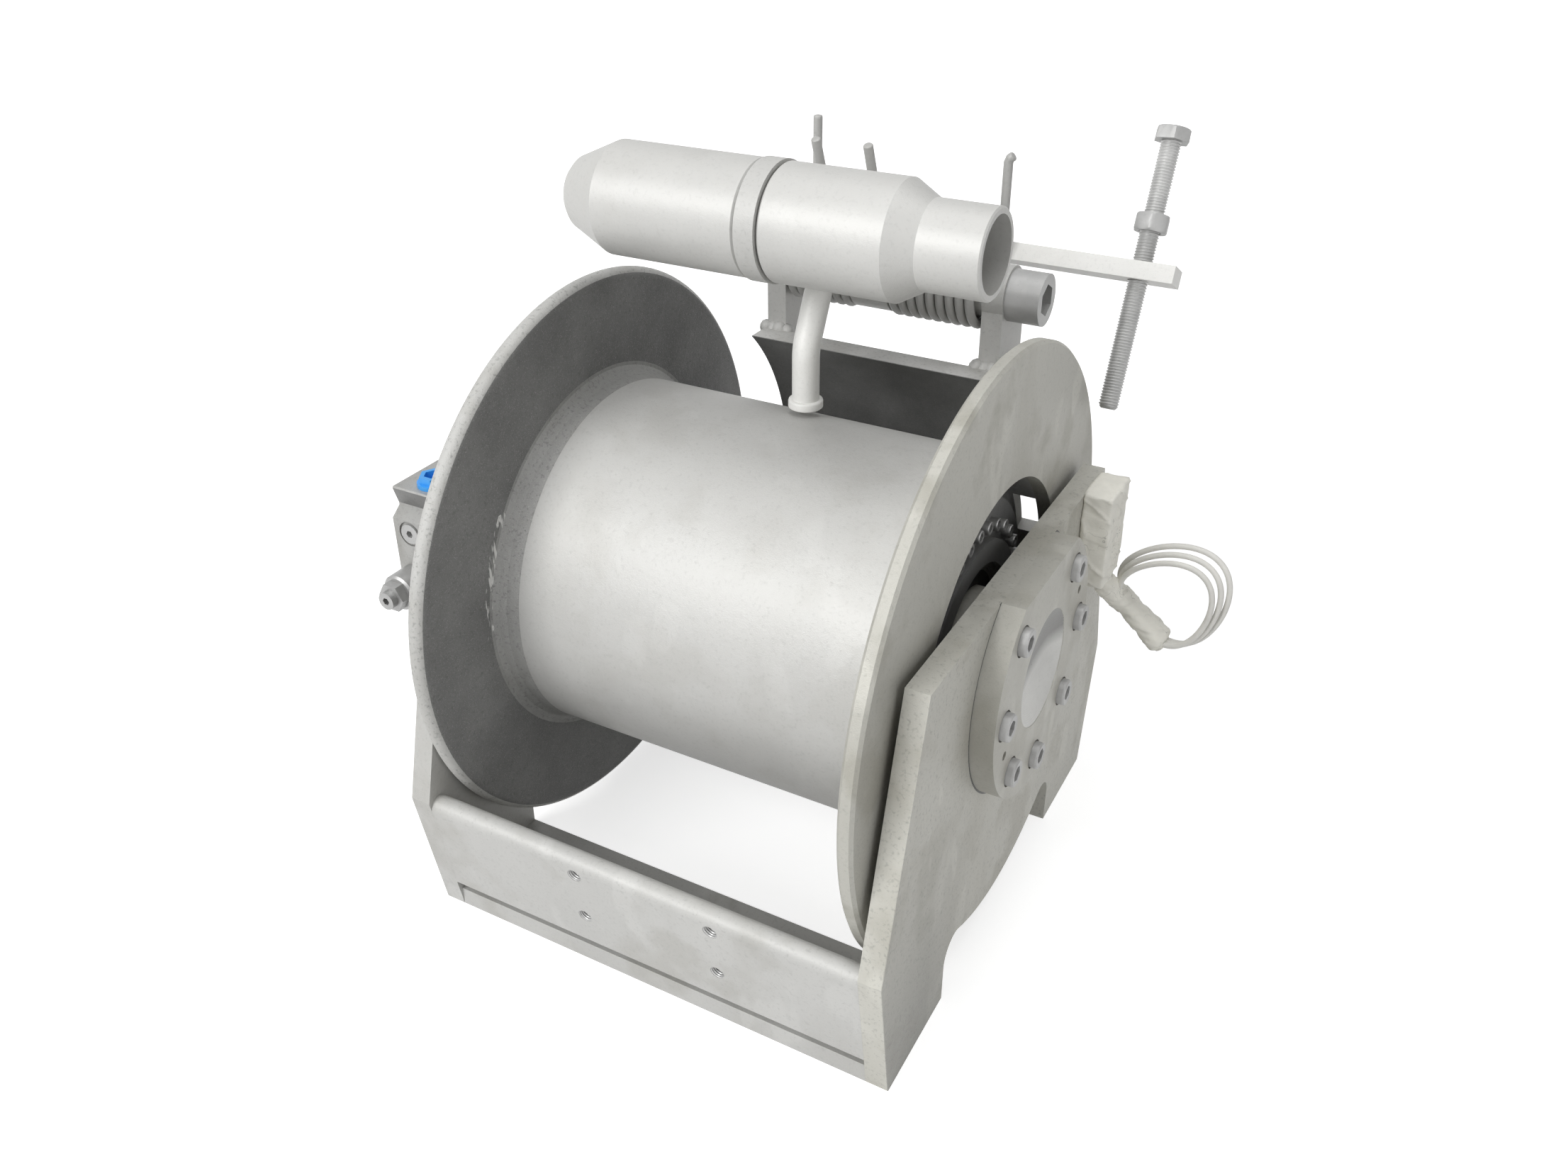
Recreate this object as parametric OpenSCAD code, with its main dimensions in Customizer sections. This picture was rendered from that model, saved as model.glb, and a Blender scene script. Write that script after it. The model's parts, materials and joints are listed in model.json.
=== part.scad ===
// Hydraulic winch with a sprung rope pressure arm.
// Frame: +Z up, +X towards the bearing cap side, -Y towards the front beam.
// The origin is on the floor, at the centre of the base bolt pattern.

/* [Drum] */
// Radius of the rope barrel
barrel_r = 125; // [115:1:135]
// Wall of the rope barrel
barrel_wall = 10; // [8:1:14]
// Clear width between the drum flanges
drum_w = 284; // [280:1:300]
// Radius of the drum flanges
flange_r = 200; // [190:1:200]
// Thickness of the right drum flange
flange_t = 10; // [8:1:12]
// Thickness of the left drum flange with its rounded rim
flange_left_t = 12; // [10:1:14]
// Width of the rope slot through the barrel wall
rope_slot_w = 16; // [12:1:20]
// Length of the rope slot around the barrel
rope_slot_l = 38; // [28:1:44]
// Angle of the rope slot above the rear horizontal
rope_slot_at = 24.5; // [15:0.5:35]

/* [Frame] */
// Height of the drum axis above the floor
axis_h = 205; // [204:1:225]
// Thickness of the side plates and beams
plate_t = 15; // [12:1:18]
// Side gap between a flange and its side plate
side_gap = 3; // [2:1:8]
// Top edge of the side plates above the drum axis
plate_top = 70; // [60:1:80]
// Half length of the side plates at the top edge
plate_top_half = 151; // [140:1:160]
// Half length of the side plates at their widest
plate_wide_half = 198; // [192:1:206]
// Depth of the widest point below the drum axis
plate_wide_drop = 103; // [95:1:110]
// Half length of the side plates at the floor
foot_out = 181; // [170:1:190]
// Half length of the arch between the feet
foot_in = 99; // [85:1:110]
// Radius of the arch under the side plates
arch_r = 180; // [172:1:186]
// Radius of the arch corners
arch_corner_r = 16; // [8:1:22]
// Height of the gap between the front beam and the foot plate
beam_gap = 9; // [5:1:15]
// Thickness of the foot plates
foot_plate_t = 14; // [10:1:18]
// Radius of the base bolt holes
base_hole_r = 8.75; // [5:0.25:11]
// Base bolt spacing across the winch
base_span_x = 220; // [180:5:240]
// Base bolt spacing along the winch
base_span_y = 280; // [260:5:290]

/* [Front beam holes] */
// Radius of the tapped holes in the front beam
tap_r = 5; // [3:0.25:6]
// Distance between the tapped holes across the beam
tap_span_x = 100; // [70:5:140]
// Distance between the tapped holes up the beam
tap_span_up = 41; // [30:1:46]
// Offset of the tapped holes from the middle of the beam
tap_off_x = 8; // [-20:1:20]
// Height of the lower tapped holes up the slanted face
tap_low = 50; // [44:1:52]

/* [Rope guard and lugs] */
// Inside radius of the curved rope guard
guard_r = 177; // [172:1:180]
// Half width of the rope guard
guard_half = 91; // [80:1:100]
// Top edge of the rope guard above the drum axis
guard_top = 129; // [120:1:132]
// Thickness of the pivot lugs
lug_t = 15; // [10:1:18]
// Inside face of the pivot lugs from the middle
lug_in = 76; // [74:1:80]
// Front edge of the pivot lugs
lug_front = 146; // [143:1:150]
// Rear edge of the pivot lugs
lug_rear = 189; // [185:1:189]
// Distance of the pivot behind the drum axis
pivot_y = 164; // [160:1:168]
// Height of the pivot above the drum axis
pivot_up = 177; // [172:1:182]
// Radius of the pivot screw's shank
pivot_r = 12; // [10:0.5:12]

/* [Press arm] */
// Thickness of the arm plate
arm_t = 13; // [10:1:14]
// Radius of the arm hub at the pivot
arm_hub_r = 25; // [24:0.5:27]
// Outside radius of the pivot sleeve
sleeve_r = 17.5; // [17:0.25:18]
// Width of the arm's ring between the rollers
ring_w = 13; // [10:1:16]
// Roller axis from the drum axis, negative to the front
roller_y = -8; // [-15:1:0]
// Height of the roller axis above the drum axis
roller_up = 260; // [252:1:265]
// Radius of the rollers
roller_r = 35; // [32:0.5:38]
// Length of the right roller
roller_right_l = 131; // [120:1:134]
// Length of the left roller
roller_left_l = 130; // [120:1:134]
// Radius of the right roller's neck
neck_r = 26; // [24:0.5:28]
// Length of the right roller's neck
neck_l = 38; // [30:1:44]
// Radius of the open bore in the neck
neck_bore_r = 22; // [18:0.5:23]
// Radius of the roller shaft
shaft_r = 10; // [8:0.5:12]
// Outside radius of the feeler tube
feeler_r = 9; // [7:0.5:10]
// Bend of the feeler tube
feeler_bend = 27; // [20:1:32]
// Feeler tip from the drum axis
feeler_y = 34; // [30:1:38]

/* [Springs] */
// Diameter of the spring wire
wire_d = 6.6; // [5:0.1:6.6]
// Coils in the right torsion spring
spring_turns = 8; // [5:1:8]
// Coils in the left torsion spring
spring_turns_left = 6; // [4:1:6]
// Mean radius of the spring coils
coil_r = 23.5; // [23.5:0.25:25]
// Top of the right outer spring leg above the drum axis
leg_top = 264; // [240:1:280]
// Top of the left outer spring leg above the drum axis
leg_top_left = 276; // [240:1:285]
// Length of the inner spring legs
inner_leg = 124; // [80:1:130]
// Lean of the inner spring legs towards the front
inner_lean = 22; // [10:1:25]

/* [Stop bar and bolt] */
// Height of the stop bar's section
bar_s = 12; // [10:0.5:14]
// Depth of the stop bar's section
bar_d = 25; // [22:1:28]
// Free end of the stop bar
bar_end = 190; // [180:1:200]
// Tilt of the bar and its bolt
bolt_tilt = 26; // [20:1:32]
// Place of the bolt along the bar
bolt_x = 165; // [160:1:172]
// Radius of the stop bolt
bolt_r = 7; // [5:0.5:8]
// Length of the stop bolt below its head
bolt_len = 182; // [160:2:200]
// Bolt length below the bar
bolt_below = 94; // [60:1:96]

/* [Bearing cap] */
// Radius of the bearing cap
cap_r = 85; // [84:1:90]
// Thickness of the bearing cap
cap_t = 15; // [12:1:18]
// Radius of the cap's screw circle
cap_pcr = 68; // [66:0.5:70]
// Radius of the dished recess in the cap
dish_r = 39; // [30:1:42]
// Depth of the dished recess
dish_d = 9; // [5:1:11]
// Radius of the journal inside the drum
journal_r = 40; // [36:1:40]

/* [Drive] */
// Tooth module of the planetary gears
gear_m = 3; // [2.8:0.1:3]
// Teeth of the sun gear
sun_z = 18; // [18:6:18]
// Teeth of each planet gear
planet_z = 24; // [24:6:24]
// Face width of the gears
gear_w = 30; // [24:1:32]
// Radius of the planet pins
pin_r = 10; // [8:0.5:12]
// Outside radius of the fixed drive support
support_r = 70; // [68:1:70]
// Bore of the fixed drive support
support_bore_r = 52; // [48:1:54]
// Radius of the input shaft
input_r = 12; // [10:0.5:14]
// Radius of the motor body
motor_r = 43; // [40:1:44]
// Length of the motor outside the winch frame
motor_l = 22; // [18:1:24]
// Width of the valve block along the winch
block_w = 54; // [48:1:58]

/* [Limit switch] */
// Width of the switch body
switch_w = 18; // [14:1:20]
// Depth of the switch body
switch_d = 36; // [30:1:38]
// Height of the switch body
switch_h = 66; // [58:1:68]
// Thickness of the tape over the switch
tape_t = 1; // [0.8:0.1:1.5]
// Diameter of the switch cable
cable_d = 4.2; // [3.5:0.1:4.3]
// Loops in the hank of cable
cable_loops = 3; // [2:1:3]

/* [Hidden] */
$fn = 96;

// Finish colours
grey = [0.74, 0.74, 0.73];
dark_grey = [0.34, 0.34, 0.33];
steel = [0.62, 0.63, 0.64];
bronze = [0.62, 0.46, 0.26];
black = [0.08, 0.08, 0.08];
tape_col = [0.87, 0.85, 0.77];
blue = [0.10, 0.42, 0.82];

// Clearances
fit = 0.05;
run = 0.3;
eps = 1;

// Places across the winch
flange_in = drum_w / 2;
plate_in = flange_in + flange_left_t + side_gap;
plate_out = plate_in + plate_t;
barrel_bore_r = barrel_r - barrel_wall;

// Slanted front and rear faces of the frame
slant_dy = plate_wide_half - foot_out;
slant_dz = axis_h - plate_wide_drop;
slant_a = atan2(slant_dy, slant_dz);
slant_l = norm([slant_dy, slant_dz]);
beam_foot = (foot_plate_t + beam_gap) / cos(slant_a);

// Places a flat outline on the plane across the winch axis
module plate_at(x, t) {
    translate([x, 0, axis_h]) rotate([90, 0, 90]) linear_extrude(t) children();
}

// Turns a solid built along Z into one along X on the drum axis
module along_x(x) {
    translate([x, 0, axis_h]) rotate([0, 90, 0]) children();
}

// Place at a radius and an angle about the drum axis
module at_yz(r, a) {
    translate([0, r * cos(a), axis_h + r * sin(a)]) children();
}

// Plain ring on the drum axis
module ring_x(x, w, outer, inner) {
    along_x(x) difference() {
        cylinder(r = outer, h = w);
        translate([0, 0, -eps]) cylinder(r = inner, h = w + 2 * eps);
    }
}

// Socket head cap screw, head above Z = 0 and shank below it
module cap_screw(r, l) {
    difference() {
        union() {
            cylinder(r = 1.5 * r, h = 2 * r);
            translate([0, 0, -l]) cylinder(r = r, h = l + eps);
        }
        translate([0, 0, r]) cylinder(r = 0.95 * r, h = r + eps, $fn = 6);
    }
}

// Hexagon bar given by its size across flats
module hex(af, h) {
    cylinder(r = af / 2 / cos(30), h = h, $fn = 6);
}

// Side plates with their feet and the arch between them
arch_cy = foot_in - arch_corner_r;
arch_cz = -sqrt(pow(arch_r + arch_corner_r, 2) - pow(arch_cy, 2));
arch_ty = arch_cy * arch_r / (arch_r + arch_corner_r);

module side_outline() {
    difference() {
        polygon([[-plate_top_half, plate_top], [-plate_wide_half, -plate_wide_drop],
            [-foot_out, -axis_h], [foot_out, -axis_h],
            [plate_wide_half, -plate_wide_drop], [plate_top_half, plate_top]]);
        difference() {
            translate([-arch_ty, -axis_h - eps]) square([2 * arch_ty, axis_h]);
            circle(r = arch_r);
        }
        for (s = [-1, 1]) {
            translate([s * arch_cy, arch_cz]) circle(r = arch_corner_r);
            translate([s * arch_cy - arch_corner_r, -axis_h - eps])
                square([2 * arch_corner_r, axis_h + arch_cz + eps]);
        }
    }
}

// Screw circle shared by the bearing cap and the drive support.
// The screw at the top is left out, where the flat edge is.
cap_angles = [for (i = [3:9]) 45 * i];

module on_cap_circle(r = cap_pcr) {
    for (a = cap_angles)
        translate([0, r * cos(a), axis_h + r * sin(a)]) children();
}

cap_spigot_r = 55;
cap_screw_r = 6;

module side_plate(bore_r, screws_r) {
    difference() {
        plate_at(plate_in, plate_t) side_outline();
        along_x(plate_in - eps) cylinder(r = bore_r, h = plate_t + 2 * eps);
        on_cap_circle(screws_r) translate([plate_in - eps, 0, 0]) rotate([0, 90, 0])
            cylinder(r = cap_screw_r + fit, h = plate_t + 2 * eps);
    }
}

module side_plate_right() {
    color(grey) side_plate(cap_spigot_r + fit, cap_pcr);
}

module side_plate_left() {
    color(grey) mirror([1, 0, 0]) side_plate(support_r + fit, support_pcr);
}

// Slanted beam on the front edge of the side plates, with a tapped pattern
module slant_frame(s) {
    translate([0, s * foot_out, 0]) rotate([-s * slant_a, 0, 0]) children();
}

beam_half = plate_in - fit;
beam_lip_r = plate_t / 2;

module beam_solid(s) {
    slant_frame(s) translate([-beam_half, s < 0 ? 0 : -plate_t, beam_foot])
        cube([2 * beam_half, plate_t, slant_l - beam_foot - beam_lip_r]);
    slant_frame(s) translate([-beam_half, -s * plate_t / 2, slant_l - beam_lip_r])
        rotate([0, 90, 0]) cylinder(r = beam_lip_r, h = 2 * beam_half);
}

module front_beam() {
    color(grey) difference() {
        beam_solid(-1);
        slant_frame(-1) for (sx = [-1, 1], up = [0, 1])
            translate([tap_off_x + sx * tap_span_x / 2, -eps, tap_low + up * tap_span_up])
                rotate([-90, 0, 0]) cylinder(r = tap_r, h = plate_t + 2 * eps);
    }
}

beam_top_z = axis_h - plate_wide_drop;

module rear_beam() {
    color(grey) intersection() {
        slant_frame(1) translate([-beam_half, -plate_t, beam_foot])
            cube([2 * beam_half, plate_t, slant_l]);
        translate([-plate_out, 0, 0]) cube([2 * plate_out, 2 * plate_wide_half, beam_top_z]);
    }
}

// Flat foot plates between the side plates, bolted to the base
module foot_plate(s) {
    difference() {
        translate([-beam_half, s < 0 ? -foot_out : foot_in, 0])
            cube([2 * beam_half, foot_out - foot_in, foot_plate_t]);
        for (sx = [-1, 1])
            translate([sx * base_span_x / 2, s * base_span_y / 2, -eps])
                cylinder(r = base_hole_r, h = foot_plate_t + 2 * eps);
    }
}

module front_foot_plate() {
    color(grey) foot_plate(-1);
}

module rear_foot_plate() {
    color(grey) foot_plate(1);
}

// Curved rope guard behind the drum, standing on the rear beam
guard_out_r = guard_r + plate_t;
guard_foot_z = -plate_wide_drop;

module guard_outline() {
    intersection() {
        difference() {
            circle(r = guard_out_r);
            circle(r = guard_r);
        }
        square([guard_out_r + eps, guard_top]);
    }
    translate([guard_r, guard_foot_z]) square([plate_t, -guard_foot_z]);
}

module rope_guard() {
    color(grey) plate_at(-guard_half, 2 * guard_half) guard_outline();
}

// Lugs that carry the pivot, welded to the back of the rope guard
lug_top_r = 20;

module lug_outline() {
    difference() {
        union() {
            translate([pivot_y, pivot_up]) circle(r = lug_top_r);
            polygon([[lug_front, guard_top - 40], [lug_rear, guard_top - 70],
                [lug_rear, pivot_up], [pivot_y, pivot_up + lug_top_r],
                [lug_front, pivot_up]]);
        }
        circle(r = guard_out_r + fit);
    }
}

module pivot_lug(s) {
    difference() {
        plate_at(s > 0 ? lug_in : -lug_in - lug_t, lug_t) lug_outline();
        translate([s > 0 ? lug_in - eps : -lug_in - lug_t - eps, pivot_y, axis_h + pivot_up])
            rotate([0, 90, 0]) cylinder(r = pivot_r + fit, h = lug_t + 2 * eps);
    }
}

module pivot_lug_right() {
    color(grey) pivot_lug(1);
}

module pivot_lug_left() {
    color(grey) pivot_lug(-1);
}

// Bearing cap with its flat top edge, dished face and journal
bearing_w = 26;
bearing_out_r = journal_r + 30;
bearing_x = plate_in - 59;
journal_len = plate_in - bearing_x;
cap_sink = 7;

module bearing_cap() {
    color(grey) difference() {
        union() {
            plate_at(plate_out, cap_t) intersection() {
                circle(r = cap_r);
                translate([-cap_r, -cap_r]) square([2 * cap_r, cap_r + plate_top]);
            }
            along_x(plate_in) cylinder(r = cap_spigot_r, h = plate_t + eps);
            along_x(bearing_x) cylinder(r = journal_r, h = journal_len + eps);
        }
        along_x(plate_out + cap_t - dish_d)
            cylinder(r1 = dish_r - dish_d / 2, r2 = dish_r, h = dish_d + fit);
        on_cap_circle() translate([plate_out - eps, 0, 0]) rotate([0, 90, 0])
            cylinder(r = cap_screw_r + fit, h = cap_t + 2 * eps);
        on_cap_circle() translate([plate_out + cap_t - cap_sink, 0, 0]) rotate([0, 90, 0])
            cylinder(r = 1.5 * cap_screw_r + 1, h = cap_sink + eps);
        for (a = [20, 202])
            translate([plate_out + cap_t - 8, cap_pcr * cos(a), axis_h + cap_pcr * sin(a)])
                rotate([0, 90, 0]) cylinder(r = 3, h = 8 + eps);
    }
}

module cap_screws() {
    color(steel) on_cap_circle() translate([plate_out + cap_t - cap_sink, 0, 0])
        rotate([0, 90, 0]) cap_screw(cap_screw_r, cap_t - cap_sink + plate_t - 1);
}

// Drum: barrel with its rope slot, and two flanges
module drum_barrel() {
    color(grey) difference() {
        ring_x(-flange_in, drum_w, barrel_r, barrel_bore_r);
        translate([flange_in, 0, axis_h]) rotate([rope_slot_at, 0, 0])
            translate([-rope_slot_w, barrel_bore_r - 2 * barrel_wall, -rope_slot_l / 2])
                cube([rope_slot_w + eps, 4 * barrel_wall, rope_slot_l]);
    }
}

module flange_right() {
    color(grey) along_x(flange_in) rotate_extrude() difference() {
        translate([barrel_bore_r, 0]) square([flange_r - barrel_bore_r, flange_t]);
        translate([flange_r, flange_t]) rotate(45) square(2 * sqrt(2), center = true);
        translate([flange_r, 0]) rotate(45) square(2 * sqrt(2), center = true);
    }
}

fillet_r = 7;
fillet_w = 16;
rim_r = flange_left_t / 2;

module flange_left() {
    color(grey) along_x(-flange_in - flange_left_t) rotate_extrude() {
        translate([barrel_bore_r, 0])
            square([flange_r - rim_r - barrel_bore_r, flange_left_t]);
        translate([flange_r - rim_r, rim_r]) circle(r = rim_r);
        polygon([[barrel_r + fit, flange_left_t], [barrel_r + fillet_r, flange_left_t],
            [barrel_r + 0.55 * fillet_r, flange_left_t + 0.16 * fillet_w],
            [barrel_r + 0.22 * fillet_r, flange_left_t + 0.45 * fillet_w],
            [barrel_r + fit, flange_left_t + fillet_w]]);
    }
}

// Roller bearings on the drum axis
race_t = 10;
bear_roller_r = 7;
bear_roller_l = 20;
bear_pitch = 15;

module bearing_ring(x, inner, from_r, to_r) {
    along_x(x) rotate_extrude() difference() {
        translate([from_r, 0]) square([to_r - from_r, bearing_w]);
        translate([inner + bear_pitch - bear_roller_r - fit, (bearing_w - bear_roller_l) / 2 - fit])
            square([2 * bear_roller_r + 2 * fit, bear_roller_l + 2 * fit]);
    }
}

// Rollers in their cage
module bearing_rollers(x, inner, count) {
    p = inner + bear_pitch;
    difference() {
        ring_x(x + 1, bearing_w - 2, p + 2.4, p - 2.4);
        for (i = [0:count - 1]) at_yz(p, 360 * i / count)
            translate([x + (bearing_w - bear_roller_l) / 2 - fit, 0, 0]) rotate([0, 90, 0])
                cylinder(r = bear_roller_r + fit, h = bear_roller_l + 2 * fit);
    }
    for (i = [0:count - 1]) at_yz(p, 360 * i / count)
        translate([x + (bearing_w - bear_roller_l) / 2, 0, 0]) rotate([0, 90, 0])
            cylinder(r = bear_roller_r, h = bear_roller_l);
}

rollers_right = 16;
rollers_left = 24;

module bearing_right_inner() {
    color(steel) bearing_ring(bearing_x, journal_r, journal_r + fit, journal_r + race_t);
}

module bearing_right_outer() {
    color(steel) bearing_ring(bearing_x, journal_r, bearing_out_r - race_t, bearing_out_r - fit);
}

module bearing_right_cage() {
    color(bronze) bearing_rollers(bearing_x, journal_r, rollers_right);
}

// Right hub, its screwed cover and seal
hub_lip = 3;
hub_w = bearing_w + hub_lip;
hub_x = bearing_x - hub_lip;
cover_r = 98;
cover_t = 10;
cover_x = hub_x + hub_w;
cover_bore_r = journal_r + 10;
collar_out_r = journal_r + 32;
collar_h = 6;
step_r = journal_r + 17;
hub_screw_r = 3;
hub_screws = 32;
hub_pcr = journal_r + 41;

module drum_hub_right() {
    color(dark_grey) difference() {
        ring_x(hub_x, hub_w, barrel_bore_r - fit, bearing_out_r - 8);
        along_x(bearing_x) cylinder(r = bearing_out_r, h = hub_w);
        on_hub_circle() translate([cover_x - 16, 0, 0]) rotate([0, 90, 0])
            cylinder(r = hub_screw_r + fit, h = 16 + eps);
    }
}

module on_hub_circle() {
    for (i = [0:hub_screws - 1]) {
        a = 360 * i / hub_screws;
        translate([0, hub_pcr * cos(a), axis_h + hub_pcr * sin(a)]) children();
    }
}

module hub_cover() {
    color(dark_grey) difference() {
        along_x(cover_x) rotate_extrude() difference() {
            union() {
                translate([cover_bore_r, 0]) square([cover_r - cover_bore_r, cover_t]);
                translate([cover_bore_r, cover_t - eps])
                    square([collar_out_r - cover_bore_r, collar_h + eps]);
            }
            translate([0, cover_t + collar_h - 4]) square([step_r, 4 + eps]);
            translate([0, cover_t + collar_h - 7]) square([step_r - 4, 7 + eps]);
        }
        on_hub_circle() translate([cover_x - eps, 0, 0]) rotate([0, 90, 0])
            cylinder(r = hub_screw_r + fit, h = cover_t + 2 * eps);
    }
}

module hub_cover_screws() {
    color(steel) on_hub_circle() translate([cover_x + cover_t, 0, 0]) rotate([0, 90, 0])
        cap_screw(hub_screw_r, cover_t + 14);
}

module hub_seal() {
    color(black) ring_x(cover_x + 1, 8, cover_bore_r - fit, journal_r + run);
}

// Fixed drive support on the left side plate, with the bearing on its tube
support_t = 12;
support_pcr = support_r + cap_screw_r + 5;
support_disc_r = support_pcr + 12;
support_end = -95;
left_bearing_x = -146;
left_bearing_out_r = support_r + 30;

module drive_support() {
    color(grey) difference() {
        union() {
            plate_at(-plate_out - support_t, support_t) intersection() {
                circle(r = support_disc_r);
                translate([-support_disc_r, -support_disc_r])
                    square([2 * support_disc_r, support_disc_r + plate_top]);
            }
            along_x(-plate_out - eps) cylinder(r = support_r, h = support_end + plate_out + eps);
        }
        along_x(-plate_out - support_t - eps)
            cylinder(r = support_bore_r, h = plate_out + support_t + support_end + 2 * eps);
        mirror([1, 0, 0]) on_cap_circle(support_pcr) translate([plate_out - eps, 0, 0])
            rotate([0, 90, 0]) cylinder(r = cap_screw_r + fit, h = support_t + 2 * eps);
        on_motor_screws() translate([motor_x - eps, 0, 0]) rotate([0, 90, 0])
            cylinder(r = motor_screw_r + fit, h = support_t);
    }
}

module support_screws() {
    color(steel) mirror([1, 0, 0]) on_cap_circle(support_pcr) translate([plate_out + support_t, 0, 0])
        rotate([0, 90, 0]) cap_screw(cap_screw_r, support_t + plate_t - 1);
}

module bearing_left_inner() {
    color(steel) bearing_ring(left_bearing_x, support_r, support_r + fit, support_r + race_t);
}

module bearing_left_outer() {
    color(steel)
        bearing_ring(left_bearing_x, support_r, left_bearing_out_r - race_t, left_bearing_out_r - fit);
}

module bearing_left_cage() {
    color(bronze) bearing_rollers(left_bearing_x, support_r, rollers_left);
}

left_hub_w = bearing_w + hub_lip;
left_hub_end = left_bearing_x + left_hub_w;

module drum_hub_left() {
    color(dark_grey) difference() {
        ring_x(left_bearing_x, left_hub_w, barrel_bore_r - fit, left_bearing_out_r - 6);
        along_x(left_bearing_x - eps) cylinder(r = left_bearing_out_r, h = bearing_w + eps);
    }
}

// Involute gears: three fixed planets between the sun and the drum's ring gear
ring_z = sun_z + 2 * planet_z;
planet_cr = gear_m * (sun_z + planet_z) / 2;
gear_x = support_end + 15;
backlash = 0.2;
press_a = 20;
flank_steps = 4;

function inv_angle(base, r) =
    let (t = sqrt(pow(r / base, 2) - 1)) t * 180 / PI - atan(t);

function tooth_half(z, r, slack) =
    let (pr = gear_m * z / 2, base = pr * cos(press_a))
    (90 / z) + (slack / pr) * 90 / PI + inv_angle(base, pr) - inv_angle(base, max(r, base));

// Outline of z teeth, from root_r to tip_r, with a tooth at angle 0
function gear_points(z, root_r, tip_r, slack) =
    let (base = gear_m * z / 2 * cos(press_a), low = max(root_r, base + 0.01))
    [for (i = [0:z - 1])
        let (c = 360 * i / z,
            radii = concat([root_r],
                [for (k = [0:flank_steps]) low + (tip_r - low) * k / flank_steps]))
        each concat(
            [for (r = radii) let (a = c - tooth_half(z, r, slack)) [r * cos(a), r * sin(a)]],
            [for (k = [len(radii) - 1:-1:0]) let (r = radii[k], a = c + tooth_half(z, r, slack))
                [r * cos(a), r * sin(a)]])];

function pitch_r(z) = gear_m * z / 2;

module gear_outline(z) {
    polygon(gear_points(z, pitch_r(z) - 1.25 * gear_m, pitch_r(z) + 0.95 * gear_m, -backlash));
}

// Planet places, and the phases that put them in mesh with the sun and the ring
function planet_at(i) = 90 + 120 * i;
function planet_phase(i) = planet_at(i) + 180 - (0.5 - planet_at(i) * sun_z / 360) * 360 / planet_z;
ring_phase = planet_at(0) - (planet_at(0) - planet_phase(0)) * planet_z / ring_z;

module planet_gear(i) {
    color(steel) difference() {
        plate_at(gear_x, gear_w)
            translate([planet_cr * cos(planet_at(i)), planet_cr * sin(planet_at(i))])
                rotate(planet_phase(i)) gear_outline(planet_z);
        on_planet(i) translate([gear_x - eps, 0, 0]) rotate([0, 90, 0])
            cylinder(r = pin_r + fit, h = gear_w + 2 * eps);
    }
}

module on_planet(i) {
    translate([0, planet_cr * cos(planet_at(i)), axis_h + planet_cr * sin(planet_at(i))])
        children();
}

module planet_gear_1() { planet_gear(0); }
module planet_gear_2() { planet_gear(1); }
module planet_gear_3() { planet_gear(2); }

carrier_t = 10;
carrier_r = planet_cr + pin_r + 6;
carrier_gap = 2;
carrier_x = gear_x - carrier_gap - carrier_t;
carrier_far_x = gear_x + gear_w + carrier_gap;

module planet_carrier() {
    color(dark_grey) difference() {
        union() {
            ring_x(carrier_x, carrier_t, carrier_r, input_r + 6);
            ring_x(support_end + fit, carrier_x - support_end, support_r, support_bore_r);
            ring_x(carrier_far_x, carrier_t, carrier_r, input_r + 6);
            for (i = [0:2]) at_yz(planet_cr - 4, planet_at(i) + 60)
                translate([carrier_x, 0, 0]) rotate([0, 90, 0])
                    cylinder(r = 7, h = carrier_far_x + carrier_t - carrier_x);
        }
        for (i = [0:2]) on_planet(i) translate([carrier_x - eps, 0, 0]) rotate([0, 90, 0])
            cylinder(r = pin_r + fit, h = carrier_far_x + carrier_t - carrier_x + 2 * eps);
    }
}

module planet_pins() {
    color(steel) for (i = [0:2]) on_planet(i) translate([carrier_x, 0, 0]) rotate([0, 90, 0])
        cylinder(r = pin_r, h = carrier_far_x + carrier_t - carrier_x);
}

motor_x = -plate_out - support_t;
block_x = motor_x - motor_l - block_w;
input_x = motor_x + 4;

module sun_shaft() {
    color(steel) {
        plate_at(gear_x, gear_w) gear_outline(sun_z);
        along_x(input_x) cylinder(r = input_r, h = gear_x - input_x + eps);
    }
}

module ring_gear() {
    color(steel) plate_at(gear_x - 1, gear_w + 2) difference() {
        circle(r = barrel_bore_r - fit);
        rotate(ring_phase) polygon(gear_points(ring_z, pitch_r(ring_z) - 0.95 * gear_m,
            pitch_r(ring_z) + 1.25 * gear_m, backlash));
    }
}

// Brake pack inside the support: discs turn with the shaft, plates stay
brake_x = -150;
brake_n = 4;
disc_t = 4;

module brake_discs() {
    color(bronze) for (i = [0:brake_n - 1])
        ring_x(brake_x + 2 * disc_t * i + 0.5, disc_t - 1, support_bore_r - 4, input_r + fit);
}

module brake_plates() {
    color(steel) for (i = [0:brake_n])
        ring_x(brake_x + disc_t * (2 * i - 1) + 0.1, disc_t - 0.2, support_bore_r - fit, input_r + 4);
}

// Hydraulic motor on the support, and the valve block on the motor's end
motor_flange_r = support_bore_r + 5;
motor_flange_t = 10;
motor_lug_r = 10;
motor_in = 30;
motor_screw_r = 4;
motor_screw_at = support_bore_r + 8;

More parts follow.
